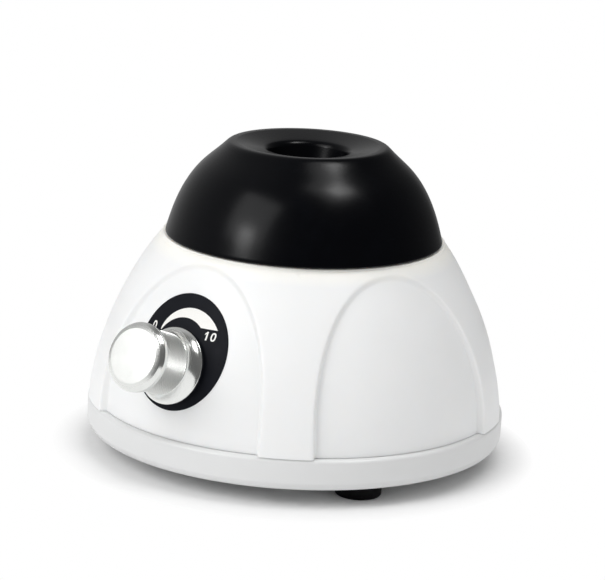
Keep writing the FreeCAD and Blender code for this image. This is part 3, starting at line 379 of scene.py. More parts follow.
def housing_wall(sizes):
    """Outer and inner skin of the housing with the lip, deck and lower edge between them."""
    radius_at = wall_radius(sizes)
    rows, share = arch_sector(sizes)
    z = rows[..., 1]
    radius = radius_at(z) - share[:, None] * recess_at(sizes, rows[..., 0], z)
    turn = np.arcsin(np.clip(rows[..., 0] / radius, -1, 1))
    foot = RING_TOP + PARTING
    z_inner = foot + (z - foot) * (DECK_UNDERSIDE - foot) / (WALL_TOP - foot)
    radius_inner = radius_at(z_inner) - WALL_THICKNESS
    crown_start = LEG_STEPS + SHOULDER_STEPS
    crown = slice(crown_start, crown_start + CROWN_STEPS)
    count = rows.shape[1]
    lowest = np.concatenate([
        np.stack([np.arange(len(rows) - 1, 0, -1), np.zeros(len(rows) - 1, int)], -1),
        np.stack([np.zeros(count, int), np.arange(count)], -1),
        np.stack([np.arange(1, len(rows)), np.full(len(rows) - 1, count - 1)], -1),
    ])
    parts = []
    for number in range(5):
        angle = turn + 2 * SECTOR * number
        outer = np.stack([radius * np.sin(angle), -radius * np.cos(angle), z], -1)
        inner = np.stack([radius_inner * np.sin(angle), -radius_inner * np.cos(angle), z_inner], -1)
        parts += [surface(outer), surface(inner)]
        edge = np.stack([outer[lowest[:, 0], lowest[:, 1]], inner[lowest[:, 0], lowest[:, 1]]])
        parts.append(surface(edge))
        lip_turn = angle[-1, crown]
        start = float(radius_at(WALL_TOP))
        bend = np.linspace(0, math.pi / 2, 6)
        lip = np.stack([start - 0.35 * (1 - np.cos(bend)), WALL_TOP + 0.5 * np.sin(bend)], -1)
        deck = rounded_profile([
            (lip[-1, 0], DECK_TOP, 0), (31, DECK_TOP, 0.4), (31, DECK_UNDERSIDE, 0.4),
            (float(radius_at(DECK_UNDERSIDE)) - WALL_THICKNESS, DECK_UNDERSIDE, 0),
        ])
        line = np.concatenate([lip, deck])
        parts.append(surface(np.stack([
            line[:, 0:1] * np.sin(lip_turn), -line[:, 0:1] * np.cos(lip_turn),
            np.broadcast_to(line[:, 1:2], (len(line), len(lip_turn))),
        ], -1)))
    return parts


def make_housing(context):
    """Housing with the socket's seat and bore cut in its rear, and the spigot below it."""
    sizes = context.scene.shaker_sizes
    made = piece("housing_skin", housing_wall(sizes), "base", ["upper_housing"])
    turn = Matrix.Translation((0, 0, SOCKET_HEIGHT)) @ Matrix.Rotation(-math.pi / 2, 4, "X")
    seat = lathe(np.array([(0, 60.9), (7.0, 60.9), (7.0, 70), (0, 70)]), 64)
    hole = lathe(np.array([(0, 50), (5.45, 50), (5.45, 65), (0, 65)]), 64)
    carve(made, [carried(seat, turn)])
    carve(made, [carried(hole, turn)])
    spigot = rounded_profile([(57.4, 12, 0), (59.5, 12, 0.3), (59.5, 18, 0.3), (57.4, 18, 0), (57.4, 12, 0)])[:-1]
    collar = piece("housing_spigot", [lathe(spigot, closed=True)], "base")
    made.data.materials.append(moulded_housing(context.scene.shaker_colours))
    collar.data.materials.append(made.data.materials[0])


def make_ring(context):
    """Base with the ring round the bottom: a rounded profile turned about the middle."""
    sizes = context.scene.shaker_sizes
    outer = sizes.ring_radius / MM
    profile = rounded_profile([
        (0, 4.8, 0),
        (outer - 4.0, 4.8, 0.5),
        (outer - 1.0, 5.7, 2.5),
        (outer, 7.6, 1.8),
        (outer, RING_TOP, 1.0),
        (outer - 2.65, RING_TOP, 0.3),
        (outer - 2.65, 7.4, 0.8),
        (0, 7.4, 0),
    ], 8)
    made = piece("base_ring", [lathe(profile, 256)], "base", ["base_pan"])
    wells = [lathe(np.array([(0, 4), (3.3, 4), (3.3, 7.395), (0, 7.395)]), 32, place(*spot)) for spot in SCREW_PLACES]
    carve(made, wells)
    made.data.materials.append(moulded_ring(context.scene.shaker_colours))


def make_feet(context):
    """Four rubber feet, each a turned form with a recess for its screw."""
    profile = rounded_profile([
        (1.6, 2.4, 0), (3.1, 2.4, 0.2), (3.1, 0, 0.3), (6.7, 0, 0.8), (6.9, 4.79, 0.2), (1.6, 4.79, 0), (1.6, 2.4, 0),
    ])[:-1]
    parts = [lathe(profile, 72, place(*spot), closed=True) for spot in FOOT_PLACES]
    made = piece("rubber_feet", parts, "base", ["feet"])
    made.data.materials.append(soft_rubber("foot rubber", (0.002, 0.002, 0.0025), 0.55, 0.1))


def make_cup(context):
    """Rubber cup: one profile from the well's floor over the crest and down to the rim, turned about the pin."""
    side = smooth_profile([
        (41.15, 66.2), (38.65, 74.15), (31.75, 85.79), (25.0, 92.05), (22.7, 93.5),
    ], 60, end=(-1.0, 0.0))
    crest = rounded_profile([
        (22.7, 93.5, 0), (21.2, 93.45, 1.5), (14.6, 92.1, 0), (12.0, 91.5, 2.0), (11.1, 86.0, 0),
        (9.5, 80.55, 2.5), (0, 80.55, 0),
    ], 8)
    under = rounded_profile([
        (0, 76.5, 0), (19.5, 76.5, 0.5), (19.5, 72.53, 0.3), (34.0, 72.53, 0.5), (37.6, 67.05, 1.0),
        (38.8, 65.55, 0.3), (41.2, 65.55, 0.3), (41.15, 66.2, 0),
    ])
    profile = np.concatenate([under, side[1:], crest[1:]])
    made = piece("cup_skin", [lathe(profile, 256, PIN)], "head", ["rubber_cup"])
    made.data.materials.append(cup_rubber(context.scene.shaker_colours))


# Dial, scale and numerals

def wall_strip(sizes, inner, outer, lift, sink, rows=6, closed=False):
    """Thin solid on the recess between two lines of front-view points."""
    share = np.linspace(0, 1, rows)[:, None, None]
    front = inner + (outer - inner) * share
    upper = on_recess(sizes, front[..., 0], front[..., 1], np.full(front.shape[:2], lift))
    lower = on_recess(sizes, front[..., 0], front[..., 1], np.full(front.shape[:2], sink))[::-1]
    ring = np.concatenate([upper, lower])
    parts = [surface(ring, wrap_rows=True, wrap_columns=closed)]
    if not closed:
        for column in (0, -1):
            cap = np.stack([ring[:rows, column], ring[rows:, column][::-1]], 1)
            parts.append(surface(cap))
    return parts


def make_dial(context):
    """Round black dial that follows the wall, with a softened rim."""
    sizes = context.scene.shaker_sizes
    radius = sizes.dial_radius / MM
    turn = np.linspace(0, 2 * math.pi, 144, endpoint=False)
    rim = 0.3
    flat = 22
    bend = np.linspace(0.2, math.pi / 2, 6)
    reach = np.concatenate([np.linspace(0, radius - rim, flat), radius - rim + rim * np.sin(bend)])
    lift = np.concatenate([np.full(flat, 0.14), 0.14 - 0.1 * (1 - np.cos(bend))])
    x = reach[:, None] * np.sin(turn)
    z = DIAL_HEIGHT + reach[:, None] * np.cos(turn)
    front = on_recess(sizes, x, z, np.broadcast_to(lift[:, None], x.shape))
    back = on_recess(sizes, x[::-1], z[::-1], np.full(x.shape, -0.35))
    disc = surface(np.concatenate([front, back]), wrap_columns=True)
    made = piece("dial_face", [disc], "base", ["dial_plate"])
    made.data.materials.append(dial_paint(context.scene.shaker_colours))


def make_scale(context):
    """White crescent that widens clockwise round the dial."""
    sizes = context.scene.shaker_sizes
    share = np.linspace(0, 1, 90)
    inner_turn = np.radians(150 - 95 * share)
    outer_turn = np.radians(150 - 114 * share)
    outer_radius = 9.62 + 3.88 * share**0.6
    inner = np.stack([SCALE_RADIUS * np.cos(inner_turn), DIAL_HEIGHT + SCALE_RADIUS * np.sin(inner_turn)], -1)
    outer = np.stack([outer_radius * np.cos(outer_turn), DIAL_HEIGHT + outer_radius * np.sin(outer_turn)], -1)
    strip = wall_strip(sizes, inner, outer, PRINT_LIFT, PRINT_SINK)
    made = piece("dial_scale", strip, "base")
    made.data.materials.append(white_ink(context.scene.shaker_colours))


def digit_zero(x, z, height):
    """Two nested ovals, as the inner and the outer line of a ring."""
    turn = np.linspace(0, 2 * math.pi, 48, endpoint=False)
    across = np.sign(np.sin(turn)) * np.abs(np.sin(turn)) ** 0.8
    upwards = np.sign(np.cos(turn)) * np.abs(np.cos(turn)) ** 0.9
    oval = np.stack([across, upwards], -1)
    centre = np.array([x, z])
    return centre + oval * [0.17 * height, 0.32 * height], centre + oval * [0.355 * height, 0.5 * height]


def digit_one(x, z, height):
    """Upright stroke and its short flag, as two pairs of lines."""
    rise = np.linspace(-0.5, 0.5, 8) * height + z
    stem = [np.stack([np.full(8, x + side * height), rise], -1) for side in (-0.04, 0.17)]
    share = np.linspace(0, 1, 5)
    upper = np.stack([x + (-0.25 + 0.27 * share) * height, z + (0.27 + 0.23 * share) * height], -1)
    lower = upper - [0, 0.2 * height]
    return stem, [lower, upper]


def make_numerals(context):
    """Plain numerals 0 and 10 at the two ends of the scale."""
    sizes = context.scene.shaker_sizes
    height = sizes.numeral_height / MM
    parts = []
    for x, z in ((-11.5, DIAL_HEIGHT + 5.4), (10.3, DIAL_HEIGHT + 6.1)):
        inner, outer = digit_zero(x, z, height)
        parts += wall_strip(sizes, inner, outer, PRINT_LIFT, PRINT_SINK, 3, closed=True)
    stem, flag = digit_one(8.1, DIAL_HEIGHT + 6.1, height)
    parts += wall_strip(sizes, *stem, PRINT_LIFT, PRINT_SINK, 3)
    parts += wall_strip(sizes, *flag, 0.168, PRINT_SINK, 3)
    made = piece("dial_numerals", parts, "base")
    made.data.materials.append(white_ink(context.scene.shaker_colours))


# Knob

def knob_matrix(sizes):
    """Place of the knob's axis: out of the recess at the knob's height, leaning up."""
    out = float(wall_radius(sizes)(KNOB_HEIGHT)) - sizes.recess_depth / MM
    return Matrix.Translation((0, -out, KNOB_HEIGHT)) @ Matrix.Rotation(math.pi / 2 - KNOB_TILT, 4, "X")


def make_knob(context):
    """Turned knob; its grip carries a diamond knurl.

    The knurl's height is the lower of two triangle waves that run round the
    grip as opposite helices.
    """
    sizes = context.scene.shaker_sizes
    back = rounded_profile([
        (0, 14.55, 0), (3.02, 14.55, 0), (3.02, 5.35, 0.2), (6.6, 5.35, 0.2), (6.6, 0.35, 0.2), (11.15, 0.35, 0.15),
        (11.15, 1.15, 0.2), (10.6, 1.5, 0), (9.9, 2.5, 6), (9.1, 4.4, 0), (9.05, 5.25, 0.15), (8.8, 5.25, 0),
    ])
    grip_rows = 80
    grip = np.stack([np.full(grip_rows, GRIP_RADIUS), np.linspace(GRIP_START, GRIP_END, grip_rows)], -1)
    front = rounded_profile([
        (8.85, 15.25, 0), (9.96, 15.3, 0.15), (9.96, 16.6, 0.3), (9.3, 17.75, 0.7), (7.9, 18.52, 0.4), (0, 18.55, 0),
    ], 8)
    profile = np.concatenate([back, grip, front])
    teeth = sizes.knurl_count
    tooth_columns = 8
    turn = np.linspace(0, 2 * math.pi, tooth_columns * teeth, endpoint=False)
    pitch = 2 * math.pi * GRIP_RADIUS / teeth
    around = teeth * turn / (2 * math.pi)
    along = profile[:, 1:2] / pitch
    first = 1 - np.abs(2 * np.mod(around + along, 1) - 1)
    second = 1 - np.abs(2 * np.mod(around - along, 1) - 1)
    crest = 0.7
    height = np.minimum(np.minimum(first, second), crest) / crest
    knurled = np.zeros((len(profile), 1))
    knurled[len(back):len(back) + grip_rows] = 1
    groove = (1 - height) * knurled
    radius = profile[:, 0:1] - sizes.knurl_depth / MM * groove
    z = np.broadcast_to(profile[:, 1:2], radius.shape)
    points = np.stack([radius * np.sin(turn), -radius * np.cos(turn), z], -1)
    matrix = knob_matrix(sizes)
    part = carried(surface(points, wrap_columns=True), matrix)
    made = piece("knob_skin", [part], "knob", ["speed_knob"], sharp=28)
    mark_knob(made, matrix, sizes)
    made.data.materials.append(turned_aluminium(context.scene.shaker_colours, sizes))


def mark_knob(made, matrix, sizes):
    """Store how deep each point lies in the knurl, which the finish uses to paint shade into the grooves, and 1 where
    the metal is satin: on the grip and the face.
    """
    places = np.empty(len(made.data.vertices) * 3)
    made.data.vertices.foreach_get("co", places)
    back = np.array(matrix.inverted())
    local = (places.reshape(-1, 3) / MM) @ back[:3, :3].T + back[:3, 3]
    depth = (GRIP_RADIUS - np.hypot(local[:, 0], local[:, 1])) / (sizes.knurl_depth / MM)
    on_grip = (local[:, 2] > GRIP_START) & (local[:, 2] < GRIP_END)
    groove = np.where(on_grip, np.clip(depth, 0, 1), 0.0)
    satin = on_grip | (local[:, 2] > KNOB_FACE)
    for name, values in (("groove", groove), ("satin", satin.astype(float))):
        made.data.attributes.new(name, "FLOAT", "POINT").data.foreach_set("value", values)


# Finishes

def finish(name):
    """New material, its node tree and its shader."""
    material = bpy.data.materials.new(name)
    material.use_nodes = True
    tree = material.node_tree
    return material, tree, tree.nodes["Principled BSDF"]


def object_point(tree, centre=(0, 0, 0), turn=(0, 0, 0)):
    """Place on the object, counted from a centre and along turned axes."""
    where = tree.nodes.new("ShaderNodeTexCoord").outputs["Object"]
    mapping = tree.nodes.new("ShaderNodeMapping")
    mapping.vector_type = "TEXTURE"
    mapping.inputs["Location"].default_value = centre
    mapping.inputs["Rotation"].default_value = turn
    tree.links.new(where, mapping.inputs["Vector"])
    return mapping.outputs["Vector"]


def noise(tree, point, scale, detail=3.0, roughness=0.5):
    """Soft noise between about 0.3 and 0.7."""
    node = tree.nodes.new("ShaderNodeTexNoise")
    node.inputs["Scale"].default_value = scale
    node.inputs["Detail"].default_value = detail
    node.inputs["Roughness"].default_value = roughness
    tree.links.new(point, node.inputs["Vector"])
    return node.outputs["Fac"]


def remap(tree, value, low, high, new_low, new_high):
    """Value stretched from one range to another and held at its ends."""
    node = tree.nodes.new("ShaderNodeMapRange")
    for socket, number in (("From Min", low), ("From Max", high), ("To Min", new_low), ("To Max", new_high)):
        node.inputs[socket].default_value = number
    tree.links.new(value, node.inputs["Value"])
    return node.outputs["Result"]


def mix_colours(tree, factor, first, second):
    """Colour between two colours or sockets."""
    node = tree.nodes.new("ShaderNodeMix")
    node.data_type = "RGBA"
    tree.links.new(factor, node.inputs[0])
    for socket, colour in ((6, first), (7, second)):
        if isinstance(colour, bpy.types.NodeSocket):
            tree.links.new(colour, node.inputs[socket])
        else:
            node.inputs[socket].default_value = (*colour[:3], 1)
    return node.outputs[2]


def blended(tree, factor, first, second):
    """Number between two numbers or sockets."""
    node = tree.nodes.new("ShaderNodeMix")
    tree.links.new(factor, node.inputs[0])
    for socket, value in ((2, first), (3, second)):
        if isinstance(value, bpy.types.NodeSocket):
            tree.links.new(value, node.inputs[socket])
        else:
            node.inputs[socket].default_value = value
    return node.outputs[0]


def bump(tree, shader, height, strength, distance):
    """Fine relief on a shader's surface."""
    node = tree.nodes.new("ShaderNodeBump")
    node.inputs["Strength"].default_value = strength
    node.inputs["Distance"].default_value = distance
    tree.links.new(height, node.inputs["Height"])
    tree.links.new(node.outputs["Normal"], shader.inputs["Normal"])


def uneven_colour(tree, shader, texture, first, second):
    """Base colour that drifts between two colours with a noise."""
    patches = remap(tree, texture, 0.35, 0.65, 0, 1)
    tree.links.new(mix_colours(tree, patches, first, second), shader.inputs["Base Color"])


def uneven_gloss(tree, shader, texture, low, high):
    """Roughness that drifts between two values with a noise."""
    tree.links.new(remap(tree, texture, 0.3, 0.7, low, high), shader.inputs["Roughness"])


def scaled(colour, factor):
    """Colour with each channel times the factor."""
    return tuple(channel * factor for channel in colour[:3])


def grained(
    name, colour, roughness, grain=900.0, strength=0.15, metallic=0.0, specular=0.5, shade=0.94,
):
    """Finish with slightly uneven colour and gloss and a fine grain."""
    material, tree, shader = finish(name)
    point = object_point(tree)
    uneven_colour(tree, shader, noise(tree, point, 70, 4), scaled(colour, shade), colour)
    uneven_gloss(tree, shader, noise(tree, point, 240, 3), roughness * 0.9, roughness * 1.12)
    shader.inputs["Metallic"].default_value = metallic
    shader.inputs["Specular IOR Level"].default_value = specular
    bump(tree, shader, noise(tree, point, grain, 2), strength, 0.00005)
    return material


def moulded_housing(colours):
    """White moulding with a fine satin skin; towards the lip it turns paler and warmer, and the paler colour is
    painted light that offsets the shade under the cup.
    """
    material, tree, shader = finish("moulded housing")
    point = object_point(tree)
    split = tree.nodes.new("ShaderNodeSeparateXYZ")
    tree.links.new(point, split.inputs["Vector"])
    # Painted light: the band below the lip gets a paler colour to offset the shade that the cup casts on it
    lip_painted_light = remap(tree, split.outputs["Z"], 0.0605, 0.0645, 0, 1)
    patches = remap(tree, noise(tree, point, 55, 4), 0.35, 0.65, 0, 1)
    white = mix_colours(tree, patches, scaled(colours.housing, 0.985), colours.housing)
    tree.links.new(mix_colours(tree, lip_painted_light, white, colours.lip), shader.inputs["Base Color"])
    uneven_gloss(tree, shader, noise(tree, point, 160, 3), 0.34, 0.42)
    shader.inputs["Specular IOR Level"].default_value = 0.3
    shader.inputs["Subsurface Weight"].default_value = 0.25
    shader.inputs["Subsurface Radius"].default_value = (1, 0.9, 0.8)
    shader.inputs["Subsurface Scale"].default_value = 0.0015
    bump(tree, shader, noise(tree, point, 1400, 2), 0.08, 0.00004)
    return material


def moulded_ring(colours):
    """Slightly greyer moulding of the base."""
    material, tree, shader = finish("moulded ring")
    point = object_point(tree)
    uneven_colour(tree, shader, noise(tree, point, 45, 4), scaled(colours.ring, 0.98), colours.ring)
    uneven_gloss(tree, shader, noise(tree, point, 180, 3), 0.34, 0.42)
    shader.inputs["Specular IOR Level"].default_value = 0.4
    bump(tree, shader, noise(tree, point, 1400, 2), 0.08, 0.00004)
    return material


def soft_rubber(name, colour, roughness, specular):
    """Dull rubber with a fine, even grain."""
    return grained(name, colour, roughness, grain=1800, strength=0.2, specular=specular, shade=0.8)


def cup_rubber(colours):
    """Black rubber, satin, with a faint moulding grain and finger dust."""
    material, tree, shader = finish("cup rubber")
    point = object_point(tree)
    dust = remap(tree, noise(tree, point, 120, 6, 0.65), 0.5, 0.75, 0, 1)
    dusty = mix_colours(tree, dust, colours.rubber, scaled(colours.rubber, 1.5))
    tree.links.new(dusty, shader.inputs["Base Color"])
    uneven_gloss(tree, shader, noise(tree, point, 90, 4), 0.2, 0.26)
    shader.inputs["Specular IOR Level"].default_value = 0.1
    bump(tree, shader, noise(tree, point, 1100, 3), 0.12, 0.00005)
    return material


def dial_paint(colours):
    """Black printed sheet with a slight blue cast."""
    material, tree, shader = finish("dial black")
    point = object_point(tree)
    uneven_colour(tree, shader, noise(tree, point, 220, 3), scaled(colours.dial, 0.8), colours.dial)
    uneven_gloss(tree, shader, noise(tree, point, 400, 2), 0.55, 0.63)
    shader.inputs["Specular IOR Level"].default_value = 0.1
    bump(tree, shader, noise(tree, point, 2500, 2), 0.1, 0.00003)
    return material


def white_ink(colours):
    """Screen-printed white, with a trace of the print's mesh."""
    material, tree, shader = finish("white print")
    point = object_point(tree)
    mesh_marks = remap(tree, noise(tree, point, 3000, 1), 0.3, 0.7, 0, 1)
    ink = mix_colours(tree, mesh_marks, scaled(colours.ink, 0.95), colours.ink)
    tree.links.new(ink, shader.inputs["Base Color"])
    uneven_gloss(tree, shader, noise(tree, point, 500, 2), 0.45, 0.55)
    return material


def turned_aluminium(colours, sizes):
    """Bright turned metal with fine tool marks round the knob's axis, and painted shade that darkens the knurl's
    grooves.
    """
    material, tree, shader = finish("turned aluminium")
    matrix = knob_matrix(sizes)
    centre = tuple(matrix.translation * MM)
    point = object_point(tree, centre, (math.pi / 2 - KNOB_TILT, 0, 0))
    marks = tree.nodes.new("ShaderNodeTexWave")
    marks.wave_type = "RINGS"
    marks.rings_direction = "Z"
    marks.inputs["Scale"].default_value = 1100
    marks.inputs["Distortion"].default_value = 0.4
    tree.links.new(point, marks.inputs["Vector"])
    patches = remap(tree, noise(tree, point, 300, 3), 0.35, 0.65, 0, 1)
    groove = tree.nodes.new("ShaderNodeAttribute")
    groove.attribute_name = "groove"
    satin = tree.nodes.new("ShaderNodeAttribute")
    satin.attribute_name = "satin"
    metal = mix_colours(tree, patches, scaled(colours.knob, 0.95), colours.knob)
    # Painted shade: the metal's colour darkens with the depth of the knurl's grooves
    knurled = mix_colours(tree, groove.outputs["Fac"], metal, scaled(colours.knob, 0.75))
    tree.links.new(knurled, shader.inputs["Base Color"])
    polished = remap(tree, noise(tree, point, 700, 3), 0.3, 0.7, 0.16, 0.22)
    tree.links.new(blended(tree, satin.outputs["Fac"], polished, 0.36), shader.inputs["Roughness"])
    shader.inputs["Metallic"].default_value = 1.0
    bump(tree, shader, marks.outputs["Fac"], 0.5, 0.00001)
    return material


def inner_finishes():
    """One finish for each material slot of the inner and standing parts."""
    return {
        "zinc_steel": grained("zinc steel", (0.60, 0.61, 0.62), 0.32, 1500, 0.1, 1.0),
        "bearing_steel": grained("bearing steel", (0.66, 0.67, 0.68), 0.14, 900, 0.04, 1.0),
        "ballast_iron": grained("ballast iron", (0.10, 0.10, 0.105), 0.6, 500, 0.5),
        "laminations": grained("laminations", (0.38, 0.39, 0.40), 0.4, 2200, 0.5, 1.0),
        "ferrite": grained("ferrite", (0.07, 0.07, 0.07), 0.65, 900, 0.4),
        "copper": grained("copper wire", (0.70, 0.36, 0.18), 0.3, 1800, 0.6, 1.0),
        "brass": grained("brass", (0.76, 0.58, 0.27), 0.28, 1200, 0.1, 1.0),
        "bronze": grained("bronze", (0.56, 0.40, 0.21), 0.45, 2600, 0.5, 1.0),
        "nylon_black": grained("black nylon", (0.035, 0.035, 0.038), 0.42, 1600, 0.25),
        "nylon_natural": grained("natural nylon", (0.82, 0.79, 0.70), 0.4, 1200, 0.1),
        "board_green": grained("board green", (0.03, 0.20, 0.09), 0.3, 700, 0.2),
        "component_black": grained("component black", (0.03, 0.03, 0.032), 0.5, 1400, 0.2),
        "clamp_green": grained("clamp green", (0.06, 0.34, 0.15), 0.4, 900, 0.1),
        "wire_black": grained("black wire", (0.02, 0.02, 0.02), 0.35, 600, 0.1),
        "wire_red": grained("red wire", (0.55, 0.03, 0.03), 0.35, 600, 0.1),
        "wire_grey": grained("grey wire", (0.38, 0.38, 0.39), 0.35, 600, 0.1),
        "knob_aluminium": grained("plain aluminium", (0.76, 0.77, 0.78), 0.35, 1500, 0.15, 1.0),
        "black_rubber": soft_rubber("plain rubber", (0.015, 0.015, 0.016), 0.5, 0.4),
        "foot_rubber": soft_rubber("isolator rubber", (0.02, 0.02, 0.021), 0.55, 0.4),
        "moulded_white": grained("plain white moulding", (0.82, 0.82, 0.80), 0.35, 1400, 0.08),
        "moulded_grey": grained("plain grey moulding", (0.78, 0.79, 0.80), 0.38, 1400, 0.08),
        "dial_black": grained("plain dial black", (0.01, 0.011, 0.015), 0.42, 2500, 0.1),
    }


def dress_nodes(context):
    """Give every carried-over piece the finish of its slot."""
    finishes = inner_finishes()
    slots = {entry["node"]: entry["material_slot"] for entry in frame["record"]["subparts"]}
    for name, node in frame["nodes"].items():
        node.data.materials.clear()
        node.data.materials.append(finishes[slots[name]])


# Studio

def direction(azimuth, elevation):
    """Unit vector towards a place, turned from the front towards +X and raised, in radians."""
    level = math.cos(elevation)
    return Vector((math.sin(azimuth) * level, -math.cos(azimuth) * level, math.sin(elevation)))


def lamp(name, azimuth, elevation, width, height, brightness, glint=False):
    """Soft rectangular lamp a metre away that looks at the shaker from a compass direction.

    A glint lamp only shows in the gloss.
    """
    data = bpy.data.lights.new(name, "AREA")
    data.shape = "RECTANGLE"
    data.size = width
    data.size_y = height
    data.energy = brightness * math.pi * width * height
    made = bpy.data.objects.new(name, data)
    back = direction(math.radians(azimuth), math.radians(elevation))
    made.location = Vector((0, 0, 0.045)) + back
    made.rotation_euler = back.to_track_quat("Z", "Y").to_euler()
    made.visible_diffuse = not glint
    bpy.context.scene.collection.objects.link(made)


def white_world():
    """White surroundings; gloss sees them dimmer, and darkest on the right."""
    world = bpy.data.worlds.new("studio")
    bpy.context.scene.world = world
    world.use_nodes = True
    tree = world.node_tree
    background = tree.nodes["Background"]
    background.inputs["Color"].default_value = (1, 1, 1, 1)
    turned = tree.nodes.new("ShaderNodeVectorMath")
    turned.operation = "DOT_PRODUCT"
    turned.inputs[1].default_value = (-0.95, -0.3, 0.0)
    tree.links.new(tree.nodes.new("ShaderNodeTexCoord").outputs["Generated"], turned.inputs[0])
    mirrored = remap(tree, turned.outputs["Value"], -0.1, 0.45, 0.13, 0.5)
    path = tree.nodes.new("ShaderNodeLightPath")
    strength = blended(tree, path.outputs["Is Glossy Ray"], 0.57, mirrored)
    strength = blended(tree, path.outputs["Is Transmission Ray"], strength, 1.0)
    strength = blended(tree, path.outputs["Is Camera Ray"], strength, 1.0)
    tree.links.new(strength, background.inputs["Strength"])


def white_floor():
    """White table, 0.6 m wide; away from the object it shows as plain white, in gloss too."""
    half = 0.3
    steps = np.linspace(-half, half, 3)
    x, y = np.meshgrid(steps, steps, indexing="ij")
    points, faces = surface(np.stack([x, y, np.zeros_like(x)], -1))
    mesh = bpy.data.meshes.new("table_top")
    mesh.from_pydata(points.tolist(), [], faces[:, ::-1].tolist())
    made = bpy.data.objects.new("table_top", mesh)
    bpy.context.scene.collection.objects.link(made)
    material, tree, shader = finish("white table")
    point = object_point(tree)
    length = tree.nodes.new("ShaderNodeVectorMath")
    length.operation = "LENGTH"
    tree.links.new(point, length.inputs[0])
    away = remap(tree, length.outputs["Value"], 0.062, 0.073, 0.0, 1.0)
    path = tree.nodes.new("ShaderNodeLightPath")
    shown = tree.nodes.new("ShaderNodeMath")
    shown.operation = "MAXIMUM"
    tree.links.new(path.outputs["Is Camera Ray"], shown.inputs[0])
    tree.links.new(path.outputs["Is Glossy Ray"], shown.inputs[1])
    factor = tree.nodes.new("ShaderNodeMath")
    factor.operation = "MULTIPLY"
    tree.links.new(away, factor.inputs[0])
    tree.links.new(shown.outputs[0], factor.inputs[1])
    grain = remap(tree, noise(tree, point, 300, 2), 0.3, 0.7, 0, 1)
    table = mix_colours(tree, grain, (0.88, 0.88, 0.88), (0.9, 0.9, 0.9))
    tree.links.new(table, shader.inputs["Base Color"])
    shader.inputs["Roughness"].default_value = 0.8
    glow = tree.nodes.new("ShaderNodeEmission")
    glow.inputs["Strength"].default_value = 1.0
    blend = tree.nodes.new("ShaderNodeMixShader")
    tree.links.new(factor.outputs[0], blend.inputs[0])
    tree.links.new(shader.outputs[0], blend.inputs[1])
    tree.links.new(glow.outputs[0], blend.inputs[2])
    tree.links.new(blend.outputs[0], tree.nodes["Material Output"].inputs["Surface"])
    made.data.materials.append(material)


def make_studio(context):
    """World, table and lamps, shown with the plain view transform."""
    context.scene.view_settings.view_transform = "Standard"
    white_world()
    white_floor()
    lamp("left softbox", -15, 36, 0.62, 0.62, 3.75)
    lamp("high softbox", 94, 70, 0.44, 0.5, 3.2)
    lamp("front glint", -14, 22, 0.22, 0.18, 18, glint=True)
    lamp("high glint", 103, 67, 0.24, 0.22, 18, glint=True)


def make_camera(context):
    """Camera to the right of the dial, a little above, rolled by three degrees."""
    target = Vector((0, 0, 0.0448))
    azimuth = math.radians(37.7)
    elevation = math.radians(14.46)
    back = direction(azimuth, elevation)
    level = back.to_track_quat("Z", "Y").to_matrix()
    roll = Matrix.Rotation(math.radians(3.0), 3, "Z")
    data = bpy.data.cameras.new("camera")
    data.sensor_width = 36
    data.lens = 2789.9 * data.sensor_width / PICTURE_WIDTH
    data.shift_x = 2.11 / PICTURE_WIDTH
    data.shift_y = 11.13 / PICTURE_WIDTH
    data.clip_start = 0.05
    data.clip_end = 20
    made = bpy.data.objects.new("camera", data)
    made.location = target + back * 0.8365
    made.rotation_euler = (level @ roll).to_euler()
    context.scene.collection.objects.link(made)
    context.scene.camera = made


# Settings

class ShakerSizes(bpy.types.PropertyGroup):
    ring_radius: FloatProperty(
        name="Ring radius", description="Outer radius of the ring round the bottom",
        default=0.0625, unit="LENGTH",
    )
    recess_depth: FloatProperty(
        name="Recess depth", description="Depth of the arched recesses behind the dial",
        default=0.001, unit="LENGTH",
    )
    leg_depth: FloatProperty(
        name="Leg depth", description="Further depth at the legs and the foot of a recess",
        default=0.0012, unit="LENGTH",
    )
    arch_width: FloatProperty(
        name="Arch width", description="Width of an arch at its feet",
        default=0.0586, unit="LENGTH",
    )
    arch_rise: FloatProperty(
        name="Arch rise", description="Height of an arch's crown over its legs",
        default=0.0425, unit="LENGTH",
    )
    arch_edge: FloatProperty(
        name="Arch edge", description="Width of the soft step at an arch's edge",
        default=0.0024, unit="LENGTH",
    )
    dial_radius: FloatProperty(
        name="Dial radius", description="Radius of the black dial in front view",
        default=0.016, unit="LENGTH",
    )
    numeral_height: FloatProperty(
        name="Numeral height", description="Height of the numerals on the dial",
        default=0.0023, unit="LENGTH",
    )
    knurl_count: IntProperty(
        name="Knurl count", description="Number of grooves of each helix round the grip",
        default=70,
    )
    knurl_depth: FloatProperty(
        name="Knurl depth", description="Depth of the knurl's grooves",
        default=0.0003, unit="LENGTH",
    )


